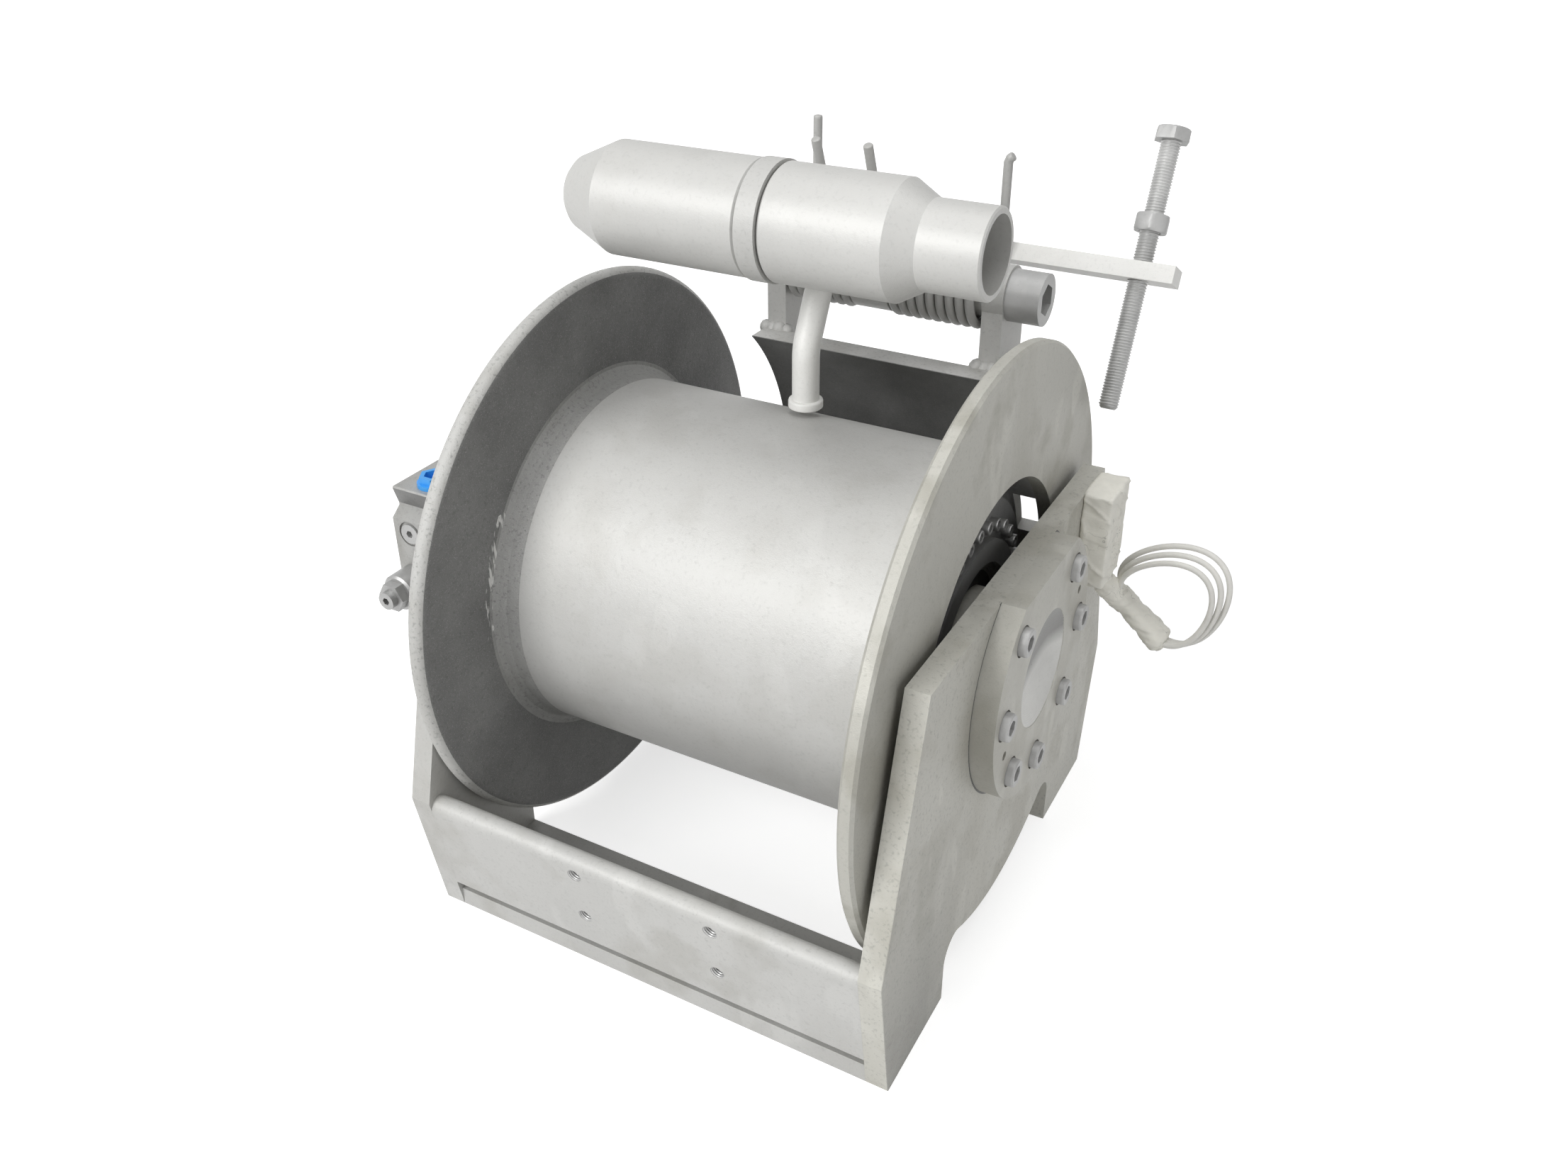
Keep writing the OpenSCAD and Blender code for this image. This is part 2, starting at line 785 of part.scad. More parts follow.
module hydraulic_motor() {
    color(dark_grey) difference() {
        union() {
            along_x(motor_x - motor_l) cylinder(r = motor_r, h = motor_l + eps);
            along_x(motor_x - motor_flange_t) cylinder(r = motor_flange_r, h = motor_flange_t);
            on_motor_screws() translate([motor_x - motor_flange_t, 0, 0]) rotate([0, 90, 0])
                cylinder(r = motor_lug_r, h = motor_flange_t);
            along_x(motor_x - eps) cylinder(r = support_bore_r - fit, h = motor_in);
        }
        along_x(input_x - run) cylinder(r = input_r + fit, h = motor_in);
        on_motor_screws() translate([motor_x - motor_flange_t - eps, 0, 0])
            rotate([0, 90, 0]) cylinder(r = motor_screw_r + fit, h = motor_flange_t + 2 * eps);
        on_block_screws() translate([motor_x - motor_l - eps, 0, 0]) rotate([0, 90, 0])
            cylinder(r = block_screw_r + fit, h = block_screw_in + eps);
    }
}

module on_motor_screws() {
    for (i = [0:3]) at_yz(motor_screw_at, 22.5 + 90 * i) children();
}

block_screw_r = 5;
block_screw_at = 25;
block_screw_in = 14;

module on_block_screws() {
    for (sy = [-1, 1], sz = [-1, 1])
        translate([0, sy * block_screw_at, axis_h + sz * block_screw_at]) children();
}

module motor_screws() {
    color(steel) {
        on_motor_screws() translate([motor_x - motor_flange_t, 0, 0]) rotate([0, -90, 0])
            cap_screw(motor_screw_r, motor_flange_t + support_t - 2);
        on_block_screws() translate([block_x, 0, 0]) rotate([0, -90, 0])
            cap_screw(block_screw_r, block_w + block_screw_in - 1);
    }
}

// Valve block outline, seen along the drum axis, with its undercut front face
block_front = -92;
block_rear = 40;
block_high = 58.5;
block_low = -28;
block_base = -50;
cart_up = -12;

module block_outline() {
    polygon([[block_front + 5, block_high], [block_front + 4, block_high - 1],
        [block_front + 8, block_high - 14], [block_front + 8, block_high - 16],
        [block_front, block_high - 22.5], [block_front, block_low],
        [-motor_r, block_low], [-motor_r, block_base],
        [block_rear, block_base], [block_rear, block_high]]);
}

plug_x = block_x + 24;
plug_y = -72;
plug_r = 8.5;
port_x = block_x + 14;
port_up = 26;
port_r = 6;
port_sink = 1.5;
cart_r = 8;

module valve_block() {
    color(dark_grey) difference() {
        plate_at(block_x, block_w) block_outline();
        translate([plug_x, plug_y, axis_h + block_high - 12])
            cylinder(r = plug_r + fit, h = 12 + eps);
        translate([port_x, block_front + 12, axis_h + port_up]) rotate([90, 0, 0])
            cylinder(r = port_r + fit, h = 12 + eps);
        translate([port_x, block_front + port_sink, axis_h + port_up]) rotate([90, 0, 0])
            cylinder(r = port_r + 3.5, h = port_sink + eps);
        cartridge_at() translate([0, 0, -eps]) cylinder(r = cart_r + fit, h = 22 + eps);
        on_block_screws() translate([block_x - eps, 0, 0]) rotate([0, 90, 0])
            cylinder(r = block_screw_r + fit, h = block_w + 2 * eps);
    }
}

// Places the cartridge on the block's front face, with the bore along its own Z
module cartridge_at() {
    translate([port_x, block_front, axis_h + cart_up]) rotate([-90, 0, 0]) children();
}

module relief_cartridge() {
    color(steel) cartridge_at() difference() {
        union() {
            translate([0, 0, -12]) cylinder(r = cart_r, h = 32);
            translate([0, 0, -18.5]) cylinder(r = 13.5, h = 18.5);
            translate([0, 0, -20]) cylinder(r1 = 12, r2 = 13.5, h = 1.5 + fit);
            translate([0, 0, -27]) hex(19, 7 + fit);
            translate([0, 0, -32]) cylinder(r = 6.5, h = 5 + fit);
        }
        translate([0, 0, -32 - eps]) hex(5, 5 + eps);
    }
}

module port_plug() {
    color(steel) translate([port_x, block_front + port_sink, axis_h + port_up])
        rotate([90, 0, 0]) difference() {
            union() {
                translate([0, 0, port_sink - 11]) cylinder(r = port_r, h = 11 - port_sink + fit);
                cylinder(r = port_r + 1.5, h = port_sink + 0.5);
            }
            translate([0, 0, -2]) hex(5, 6);
        }
}

module blue_port_plug() {
    color(blue) translate([plug_x, plug_y, axis_h + block_high]) difference() {
        union() {
            translate([0, 0, -11]) cylinder(r = plug_r, h = 11 + fit);
            cylinder(r = plug_r + 3, h = 3);
            translate([0, 0, 3 - fit]) hex(17, 5);
        }
        translate([0, 0, 2]) hex(11, 8);
    }
}

// Pivot: a large socket screw through both lugs, with a nut on the left
module on_pivot() {
    translate([0, pivot_y, axis_h + pivot_up]) children();
}

pivot_span = lug_in + lug_t;
nut_t = 14;

module pivot_screw() {
    color(steel) on_pivot() translate([pivot_span, 0, 0]) rotate([0, 90, 0])
        cap_screw(pivot_r, 2 * pivot_span + nut_t + 3);
}

module pivot_nut() {
    color(steel) on_pivot() translate([-pivot_span - nut_t, 0, 0]) rotate([0, 90, 0])
        difference() {
            hex(3 * pivot_r, nut_t - fit);
            translate([0, 0, -eps]) cylinder(r = pivot_r + fit, h = nut_t + 2 * eps);
        }
}

// Press arm: hub, plate and ring in one piece on a long sleeve
module on_roller() {
    translate([0, roller_y, axis_h + roller_up]) children();
}

bar_y = pivot_y + 42;
bar_up = pivot_up + 15;
bush_t = 3;
sleeve_half = lug_in - 1;
ring_r = roller_r + 1;

arm_half = 18;
arm_a = atan2(roller_up - pivot_up, roller_y - pivot_y);
arm_l = norm([roller_up - pivot_up, roller_y - pivot_y]);
hub_left = 22;

// Straight bar of the arm, from the pivot to the roller axis
module arm_bar_outline() {
    translate([pivot_y, pivot_up]) rotate(arm_a) translate([0, -arm_half])
        square([arm_l, 2 * arm_half]);
}

module arm_outline() {
    translate([pivot_y, pivot_up]) circle(r = arm_hub_r);
    translate([roller_y, roller_up]) circle(r = ring_r);
    arm_bar_outline();
    translate([bar_y, bar_up]) rotate(-bolt_tilt)
        translate([-bar_d / 2 - 20, -bar_s / 2 - 8]) square([bar_d / 2 + 20, bar_s + 16]);
}

// The spring pin lies just in front of the inner spring legs
pin_rod_r = 4;
pin_along = 40;
pin_off = coil_r + wire_d / 2 + pin_rod_r + run;
spring_pin_y = pivot_y - pin_off * cos(inner_lean) - pin_along * sin(inner_lean);
spring_pin_up = pivot_up - pin_off * sin(inner_lean) + pin_along * cos(inner_lean);

module press_arm() {
    color(grey) difference() {
        union() {
            plate_at(-arm_t / 2, arm_t) arm_outline();
            on_pivot() translate([-hub_left, 0, 0]) rotate([0, 90, 0])
                cylinder(r = arm_hub_r, h = hub_left + arm_t / 2);
            on_pivot() translate([-sleeve_half, 0, 0]) rotate([0, 90, 0])
                cylinder(r = sleeve_r, h = 2 * sleeve_half);
            on_roller() translate([-ring_w / 2, 0, 0]) rotate([0, 90, 0])
                cylinder(r = ring_r, h = ring_w);
        }
        on_pivot() translate([-sleeve_half - eps, 0, 0]) rotate([0, 90, 0])
            cylinder(r = pivot_r + bush_t + fit, h = 2 * sleeve_half + 2 * eps);
        on_roller() translate([-ring_w, 0, 0]) rotate([0, 90, 0])
            cylinder(r = shaft_r + fit, h = 2 * ring_w);
        bar_cut(fit);
        translate([-ring_w, spring_pin_y, axis_h + spring_pin_up]) rotate([0, 90, 0])
            cylinder(r = pin_rod_r + fit, h = 2 * ring_w);
    }
}

module arm_bushes() {
    color(bronze) for (x = [-sleeve_half, sleeve_half - 30]) on_pivot()
        translate([x, 0, 0]) rotate([0, 90, 0]) difference() {
            cylinder(r = pivot_r + bush_t, h = 30);
            translate([0, 0, -eps]) cylinder(r = pivot_r + fit, h = 30 + 2 * eps);
        }
}

module spring_pin() {
    color(steel) translate([-spring_in_left - wire_d, spring_pin_y, axis_h + spring_pin_up])
        rotate([0, 90, 0]) cylinder(r = pin_rod_r, h = spring_in_left + spring_in + 2 * wire_d);
}

// Rollers on a fixed shaft through the arm's ring
roller_gap = 1;
roller_bore_r = shaft_r + fit;
cone_l = 16;

module roller_shaft() {
    color(steel) on_roller() translate([-roller_left_l + 12, 0, 0]) rotate([0, 90, 0])
        cylinder(r = shaft_r, h = roller_left_l - 12 + roller_right_l - neck_l);
}

module roller_right() {
    x0 = ring_w / 2 + roller_gap;
    color(grey) on_roller() translate([x0, 0, 0]) rotate([0, 90, 0]) rotate_extrude()
        polygon([[roller_bore_r, 0], [roller_r - 1.5, 0], [roller_r, 1.5],
            [roller_r, roller_right_l - neck_l - cone_l],
            [neck_r, roller_right_l - neck_l], [neck_r, roller_right_l - 1],
            [neck_r - 1, roller_right_l], [neck_bore_r, roller_right_l],
            [neck_bore_r, roller_right_l - neck_l - 8],
            [roller_bore_r, roller_right_l - neck_l - 8]]);
}

module roller_left() {
    x0 = ring_w / 2 + roller_gap;
    color(grey) on_roller() translate([-x0, 0, 0]) rotate([0, -90, 0]) rotate_extrude()
        polygon([[roller_bore_r, 0], [roller_r - 1.5, 0], [roller_r, 1.5],
            [roller_r, roller_left_l - 31], [roller_r - 12, roller_left_l - 4],
            [roller_r - 16, roller_left_l], [0, roller_left_l], [0, roller_left_l - 8],
            [roller_bore_r, roller_left_l - 8]]);
}

// Feeler tube that hangs from the arm, with a ferrule just above the barrel
ferrule_r = 11.5;
ferrule_l = 6;
feeler_tip = barrel_r + 0.6;
feeler_straight = 34;
feeler_bend_r = 30;
feeler_upper = 50;

bend_steps = 6;

// Centre line of the feeler tube: straight up, then a bend towards the arm
function feeler_points() =
    let (cy = feeler_y + feeler_bend_r, cz = feeler_tip + feeler_straight)
    concat(
        [[0, feeler_y, feeler_tip], [0, feeler_y, feeler_tip + feeler_straight - 2]],
        [for (k = [0:bend_steps]) let (a = feeler_bend * k / bend_steps)
            [0, cy - feeler_bend_r * cos(a), cz + feeler_bend_r * sin(a)]],
        [[0, cy - feeler_bend_r * cos(feeler_bend) + feeler_upper * sin(feeler_bend),
            cz + feeler_bend_r * sin(feeler_bend) + feeler_upper * cos(feeler_bend)]]);

module feeler_tube() {
    color(grey) difference() {
        union() {
            translate([0, feeler_y, axis_h + feeler_tip]) cylinder(r = ferrule_r, h = ferrule_l, $fn = 24);
            translate([0, 0, axis_h]) tube(feeler_points(), feeler_r, 24, [1, 0, 0]);
        }
        plate_at(-2 * feeler_r, 4 * feeler_r) arm_bar_outline();
    }
}

// Flat stop bar behind the lugs, with its long bolt and lock nut
module on_bar() {
    translate([0, bar_y, axis_h + bar_up]) rotate([-bolt_tilt, 0, 0]) children();
}

module bar_cut(gap) {
    on_bar() translate([-arm_t, -bar_d / 2 - gap, -bar_s / 2 - gap])
        cube([2 * arm_t, bar_d + 2 * gap, bar_s + 2 * gap]);
}

module stop_bar() {
    color(grey) on_bar() difference() {
        translate([-arm_t / 2, -bar_d / 2, -bar_s / 2])
            cube([bar_end + arm_t / 2, bar_d, bar_s]);
        translate([bolt_x, 0, -bar_s]) cylinder(r = bolt_r + fit, h = 2 * bar_s);
    }
}

head_af = 3 * bolt_r;
nut_up = 27;

module stop_bolt() {
    color(steel) on_bar() translate([bolt_x, 0, -bolt_below]) {
        cylinder(r = bolt_r, h = bolt_len + fit);
        translate([0, 0, bolt_len]) hex(head_af + 1, 1.25 * bolt_r);
    }
}

module lock_nut() {
    color(steel) on_bar() translate([bolt_x, 0, nut_up]) difference() {
        hex(head_af + 1, 1.7 * bolt_r);
        translate([0, 0, -eps]) cylinder(r = bolt_r + fit, h = 4 * bolt_r);
    }
}

// Torsion springs as one unbroken tube each, with straight legs
rings_per_turn = 8;
wire_sides = 6;

// Frames along a path, then a closed tube of wire_sides sides
function unit(v) = v / norm(v);
function tangent(p, i) = unit(p[min(i + 1, len(p) - 1)] - p[max(i - 1, 0)]);
function side_of(t, ref) = unit(cross(t, ref));

module tube(path, r, sides, ref = [0.02, 1, 0.01]) {
    n = len(path);
    points = [for (i = [0:n - 1])
        let (t = tangent(path, i), u = side_of(t, ref), w = cross(t, u))
        for (k = [0:sides - 1])
            path[i] + r * (cos(360 * k / sides) * u + sin(360 * k / sides) * w)];
    walls = [for (i = [0:n - 2], k = [0:sides - 1])
        let (a = i * sides + k, b = i * sides + (k + 1) % sides)
        each [[a, a + sides, b], [b, a + sides, b + sides]]];
    ends = concat(
        [for (k = [1:sides - 2]) [0, k, k + 1]],
        [for (k = [1:sides - 2]) [(n - 1) * sides, (n - 1) * sides + k + 1, (n - 1) * sides + k]]);
    polyhedron(points = points, faces = concat(walls, ends));
}

spring_out = lug_in - 0.6 - wire_d / 2;
spring_in = arm_t / 2 + 1 + wire_d / 2;
spring_in_left = hub_left + 1 + wire_d / 2;
hook = 7;

// Path from the top of the inner leg, round the coils, to the top of the outer leg.
// The ring spacing follows the helix, so neighbouring turns stay apart.
function spring_path(x_in, turns, top, side) =
    let (a0 = 180 + inner_lean, sweep = 360 * turns + 180 - inner_lean,
        n = round(sweep / 360 * rings_per_turn), step = (spring_out - x_in) / n)
    concat(
        [for (l = [inner_leg, inner_leg / 2, wire_d])
            [x_in, coil_r * cos(a0) - l * sin(inner_lean), coil_r * sin(a0) + l * cos(inner_lean)]],
        [for (i = [0:n]) let (a = a0 + sweep * i / n)
            [x_in + step * i, coil_r * cos(a), coil_r * sin(a)]],
        [[spring_out, coil_r, wire_d], [spring_out, coil_r, (top - pivot_up) / 2],
            [spring_out, coil_r, top - pivot_up - wire_d],
            [spring_out + side, coil_r, top - pivot_up]]);

right_path = spring_path(spring_in, spring_turns, leg_top, hook / 2);
left_path = spring_path(spring_in_left, spring_turns_left, leg_top_left, 0);

module spring_right() {
    color(grey) on_pivot() tube(right_path, wire_d / 2, wire_sides);
}

module spring_left() {
    color(grey) on_pivot() mirror([1, 0, 0]) tube(left_path, wire_d / 2, wire_sides);
}

// Least gap of each wound form to itself, from the distances between its own
// points that lie at least a third of a turn apart
function least_gap(path, away, d) =
    min([for (i = [0:len(path) - 1], j = [i + away:1:len(path) - 1]) norm(path[i] - path[j])]) - d;
echo(least_gap_right_spring = least_gap(right_path, 3, wire_d));
echo(least_gap_left_spring = least_gap(left_path, 3, wire_d));
echo(least_gap_cable = least_gap(cable_path, 8, cable_d));

// Limit switch on the right side plate, under its masking tape
switch_rear = plate_top_half - 10;
switch_low = plate_top - switch_h;

module limit_switch() {
    color(black) translate([plate_out + tape_t, switch_rear - switch_d, axis_h + switch_low])
        cube([switch_w, switch_d, switch_h]);
}

module switch_tape() {
    color(tape_col) translate([plate_out, switch_rear - switch_d - tape_t, axis_h + switch_low - tape_t])
        difference() {
            cube([switch_w + 2 * tape_t, switch_d + 2 * tape_t, switch_h + 2 * tape_t]);
            translate([tape_t, tape_t, tape_t]) cube([switch_w, switch_d, switch_h]);
        }
}

// Hank of switch cable: a lead down from the switch, then flattened loops
// whose lower left sides lie together under a wrap of tape
hank_c = [225.9, 139, 183.2];
hank_r = 34;
hank_flat = 0.3;
hank_a = 40;
hank_from = 227;
hank_step = 4.9;
hank_first = 0.88;
hank_grow = 0.085;
loop_rings = 24;

// Point of the hank after a number of turns, u across the tape and v along it:
// every loop is a little larger than the last, and all meet under the tape
function hank_uv(turns) =
    let (a = hank_from - 360 * turns, k = hank_first + hank_grow * turns,
        u = hank_r * (cos(a) + hank_flat * pow(cos(a), 2)), u0 = hank_r * (hank_flat - 1))
    [u0 + k * (u - u0), k * hank_r * sin(a)];

function hank_point(turns) =
    let (p = hank_uv(turns))
    hank_c + [p[0] * sin(hank_a) + p[1] * cos(hank_a), turns * hank_step,
        p[0] * cos(hank_a) - p[1] * sin(hank_a)];

lead_x = plate_out + tape_t + switch_w / 2;
lead_z = axis_h + switch_low - tape_t;
cable_path = concat(
    [[lead_x, 130, lead_z], [lead_x, 130, lead_z - 4.5], [lead_x + 1, 132.5, lead_z - 11],
        [lead_x + 4, 136.5, lead_z - 17]],
    [for (i = [0:loop_rings * cable_loops + 4]) hank_point(i / loop_rings)]);

module switch_cable() {
    color(tape_col) tube(cable_path, cable_d / 2, 6);
}

// Wrap of tape round the bundle
tape_turn = (hank_from - 180) / 360;
wrap_l = 34;
wrap_u = 9;
wrap_y = (cable_loops + 1) * hank_step + 1.5;

module cable_tape() {
    color(tape_col)
        translate([hank_c[0], hank_c[1] + (cable_loops / 2 + tape_turn) * hank_step, hank_c[2]])
            rotate([0, 90 + hank_a, 0]) translate([0, 0, -wrap_l / 2]) linear_extrude(wrap_l)
                difference() {
                    wrap_outline(tape_t);
                    wrap_outline(0);
                }
}

module wrap_outline(grow) {
    u = hank_uv(tape_turn)[0] + wrap_u / 2 - cable_d / 2 - 0.3;
    translate([-u, 0]) {
        square([wrap_u + 2 * grow, wrap_y - 4 + 2 * grow], center = true);
        square([wrap_u - 4 + 2 * grow, wrap_y + 2 * grow], center = true);
        for (su = [-1, 1], sy = [-1, 1])
            translate([su * (wrap_u / 2 - 2), sy * (wrap_y / 2 - 2)]) circle(r = 2 + grow);
    }
}

side_plate_right();
side_plate_left();
front_beam();
front_foot_plate();
rear_beam();
rear_foot_plate();
rope_guard();
pivot_lug_right();
pivot_lug_left();
bearing_cap();
cap_screws();
drum_barrel();
flange_right();
flange_left();
drum_hub_right();
drum_hub_left();
hub_cover();
hub_cover_screws();
hub_seal();
bearing_right_inner();
bearing_right_outer();
bearing_right_cage();
bearing_left_inner();
bearing_left_outer();
bearing_left_cage();
drive_support();
support_screws();
planet_carrier();
planet_pins();
planet_gear_1();
planet_gear_2();
planet_gear_3();
sun_shaft();
ring_gear();
brake_discs();
brake_plates();
hydraulic_motor();
motor_screws();
valve_block();
relief_cartridge();
port_plug();
blue_port_plug();
pivot_screw();
pivot_nut();
press_arm();
arm_bushes();
spring_pin();
roller_shaft();
roller_right();
roller_left();
feeler_tube();
stop_bar();
stop_bolt();
lock_nut();
spring_right();
spring_left();
limit_switch();
switch_tape();
switch_cable();
cable_tape();
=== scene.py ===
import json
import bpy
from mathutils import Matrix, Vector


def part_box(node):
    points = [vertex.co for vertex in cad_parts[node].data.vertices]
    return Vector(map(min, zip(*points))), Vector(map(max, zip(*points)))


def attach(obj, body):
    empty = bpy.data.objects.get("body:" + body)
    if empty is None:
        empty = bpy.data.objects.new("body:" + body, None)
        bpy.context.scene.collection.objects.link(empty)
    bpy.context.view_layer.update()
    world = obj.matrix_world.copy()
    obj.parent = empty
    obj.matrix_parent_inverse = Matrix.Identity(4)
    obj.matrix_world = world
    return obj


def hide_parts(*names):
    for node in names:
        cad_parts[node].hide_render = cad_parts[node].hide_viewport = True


bl_info = {
    "name": "Hydraulic Winch",
    "version": (1, 0, 0),
    "blender": (4, 5, 0),
    "location": "3D View > Sidebar > Winch",
    "description": "Finishes and fine pieces of a hydraulic winch with a rope pressure arm",
    "category": "Add Mesh",
}

from math import copysign, cos, exp, hypot, inf, pi, radians, sin

import bpy
import bmesh
from bpy.props import FloatProperty, FloatVectorProperty, IntProperty, PointerProperty
from mathutils import Matrix, Vector

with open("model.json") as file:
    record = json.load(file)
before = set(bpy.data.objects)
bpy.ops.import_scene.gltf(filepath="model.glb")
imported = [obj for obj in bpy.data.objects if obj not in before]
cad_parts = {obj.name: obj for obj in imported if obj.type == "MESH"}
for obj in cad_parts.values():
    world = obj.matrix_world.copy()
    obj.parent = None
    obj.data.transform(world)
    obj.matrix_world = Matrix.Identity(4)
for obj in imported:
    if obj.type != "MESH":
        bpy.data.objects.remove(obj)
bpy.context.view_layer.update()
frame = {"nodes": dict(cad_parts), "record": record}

# Main places in metres. +X runs along the drum's axis to the bearing cap, and -Y to the front beam.
AXIS_H = 0.205
PIVOT = Vector((0.0, 0.164, 0.382))
BAR = Vector((0.0, 0.206, 0.397))
TILT = radians(26)
LUG_INNER, LUG_OUTER = 0.076, 0.091
FLANGE_INSIDE_X = -0.1425
PLATE_OUTSIDE_X = 0.1715

# The hank of cable: its middle, its lean, and its loops
HANK = Vector((0.2259, 0.139, 0.1832))
HANK_LEAN = radians(40)
HANK_R = 0.034
HANK_START = 227
HANK_STEP = 0.0049
HANK_TIE = 0.0238
HANK_POINTS = 24

# The photograph's size in pixels, where its camera's axis meets it, and that camera's place and turn
PHOTO_W, PHOTO_H = 2212, 1659
PHOTO_AXIS = (1096.1, 775.75)
CAMERA_AT = (0.3804, -0.6893, 0.6915)
CAMERA_TURN = (90 - 29.88, 0.30, 28.93)


# Sizes and colours that a user would change


class WinchSizes(bpy.types.PropertyGroup):
    wire: FloatProperty(
        name="Spring wire", description="Diameter of the spring wire", default=0.0066, unit="LENGTH")
    coil: FloatProperty(
        name="Coil radius", description="Mean radius of the spring coils", default=0.0235, unit="LENGTH")
    turns_right: IntProperty(
        name="Right coils", description="Full turns of the right spring", default=8)
    turns_left: IntProperty(
        name="Left coils", description="Full turns of the left spring", default=6)
    thread_pitch: FloatProperty(
        name="Thread pitch", description="Pitch of the stop bolt's thread", default=0.002, unit="LENGTH")
    thread_depth: FloatProperty(
        name="Thread depth", description="Depth of the stop bolt's thread", default=0.0011, unit="LENGTH")
    cable: FloatProperty(
        name="Cable", description="Diameter of the switch cable", default=0.0042, unit="LENGTH")
    bead: FloatProperty(
        name="Weld bead", description="Radius of the weld beads", default=0.0032, unit="LENGTH")


class WinchFinishes(bpy.types.PropertyGroup):
    primer: FloatVectorProperty(
        name="Primer", description="Grey primer on the frame and drum",
        default=(0.50, 0.498, 0.482), subtype="COLOR")
    shade: FloatVectorProperty(
        name="Bare casting", description="Darker grey inside the drum",
        default=(0.20, 0.20, 0.198), subtype="COLOR")
    steel: FloatVectorProperty(
        name="Screws", description="Dull screws and shafts",
        default=(0.40, 0.40, 0.395), subtype="COLOR")
    # Dark grey for painted shade on the guard's inner face, the plate's cap seam and lower front corner and
    # the valve block's groove, and for the left flange's inner face, partly raw casting and partly painted
    # shade.
    bare_and_shade_grey: FloatVectorProperty(
        name="Bare faces", description="Dark steel where rope and tools have rubbed",
        default=(0.17, 0.17, 0.166), subtype="COLOR")
    tape: FloatVectorProperty(
        name="Masking tape", description="Cream paper tape",
        default=(0.92, 0.905, 0.83), subtype="COLOR")
    sheath: FloatVectorProperty(
        name="Cable sheath", description="Off-white cable sheath",
        default=(0.78, 0.77, 0.73), subtype="COLOR")
    plug: FloatVectorProperty(
        name="Blue plug", description="Blue transport plug",
        default=(0.05, 0.34, 0.80), subtype="COLOR")


class WinchStage(bpy.types.PropertyGroup):
    key: FloatProperty(
        name="Key light", description="Power of the large soft lamp in watts", default=60.0)
    fill: FloatProperty(
        name="World light", description="Strength of the even light all round", default=0.2)
    lens: FloatProperty(
        name="Lens", description="Focal length on a 36 mm wide sensor", default=31.033)


# Node trees, with their maths as Python expressions


def both_ways(kind):
    """An operator that adds a Math node, and its reflected form."""
    return lambda a, b: a._op(kind, b), lambda a, b: a._op(kind, b, flip=True)


class Val:
    """A number socket of a node tree that can be used in an expression."""

    def __init__(self, kit, socket):
        self.kit, self.socket = kit, socket

    def _op(self, kind, *others, flip=False):
        items = [self, *others][::-1] if flip else [self, *others]
        inputs = {i: x if isinstance(x, Val) else float(x) for i, x in enumerate(items)}
        return Val(self.kit, self.kit.node("ShaderNodeMath", {"operation": kind}, inputs).outputs[0])

    __add__, __radd__ = both_ways("ADD")
    __sub__, __rsub__ = both_ways("SUBTRACT")
    __mul__, __rmul__ = both_ways("MULTIPLY")
    __truediv__, __rtruediv__ = both_ways("DIVIDE")
    __pow__, __rpow__ = both_ways("POWER")

    def above(self, o):
        return self._op("GREATER_THAN", o)

    def below(self, o):
        return self._op("LESS_THAN", o)

    def between(self, low, high):
        return self.above(low) * self.below(high)

    def sine(self):
        return self._op("SINE")

    def clip(self):
        return Val(self.kit, self.kit.node("ShaderNodeClamp", {}, {0: self}).outputs[0])

    def rise(self, start, slope):
        """Share that is 0 up to a start and then climbs to 1."""
        return ((self - start) * slope).clip()

    def fall(self, end, slope):
        """Share that drops to 0 at an end."""
        return ((end - self) * slope).clip()


class Kit:
    """A node tree under construction."""

    def __init__(self, tree):
        self.tree = tree

    def feed(self, into, value):
        """Links a value to an input, or writes a plain one into it."""
        value = value.socket if isinstance(value, Val) else value
        if isinstance(value, bpy.types.NodeSocket):
            self.tree.links.new(value, into)
        else:
            into.default_value = value

    def node(self, kind, settings, inputs):
        """Adds a node of a kind, with its settings first and then its inputs."""
        new = self.tree.nodes.new(kind)
        for key, value in settings.items():
            setattr(new, key, value)
        for key, value in inputs.items():
            self.feed(new.inputs[key], value)
        return new


class Finish(Kit):
    """One material under construction."""

    def __init__(self, name):
        self.material = bpy.data.materials.new(name)
        self.material.use_nodes = True
        super().__init__(self.material.node_tree)
        self.shader = self.tree.nodes["Principled BSDF"]
        self.place = self.node("ShaderNodeTexCoord", {}, {}).outputs["Object"]

    def noise(self, scale, detail=3.0, rough=0.55, stretch=None):
        place = self.place
        if stretch:
            place = self.node("ShaderNodeMapping", {}, {"Vector": place, "Scale": stretch}).outputs[0]
        inputs = {"Vector": place, "Scale": scale, "Detail": detail, "Roughness": rough}
        return Val(self, self.node("ShaderNodeTexNoise", {}, inputs).outputs[0])

    def axis(self, letter):
        """One coordinate of the place on the surface."""
        return Val(self, self.node("ShaderNodeSeparateXYZ", {}, {0: self.place}).outputs[letter])

    def from_axis(self):
        """Distance from the drum's axis."""
        y, z = self.axis("Y"), self.axis("Z") - AXIS_H
        return (y * y + z * z) ** 0.5

    def mix(self, a, b, share):
        """Colour between a and b by a share."""
        a, b = (c if isinstance(c, bpy.types.NodeSocket) else (*c, 1.0) for c in (a, b))
        return self.node("ShaderNodeMix", {"data_type": "RGBA"}, {"Factor": share, 6: a, 7: b}).outputs[2]

    def bump(self, height, distance, strength=1.0, normal=None):
        inputs = {"Height": height, "Distance": distance, "Strength": strength}
        if normal is not None:
            inputs["Normal"] = normal
        return self.node("ShaderNodeBump", {}, inputs).outputs[0]

    def surface(self, colour, rough, normal=None, **more):
        """Feeds the shader and gives back the material."""
        for key, value in {"Base Color": colour, "Roughness": rough, "Normal": normal, **more}.items():
            if value is not None:
                self.feed(self.shader.inputs[key], value)
        return self.material


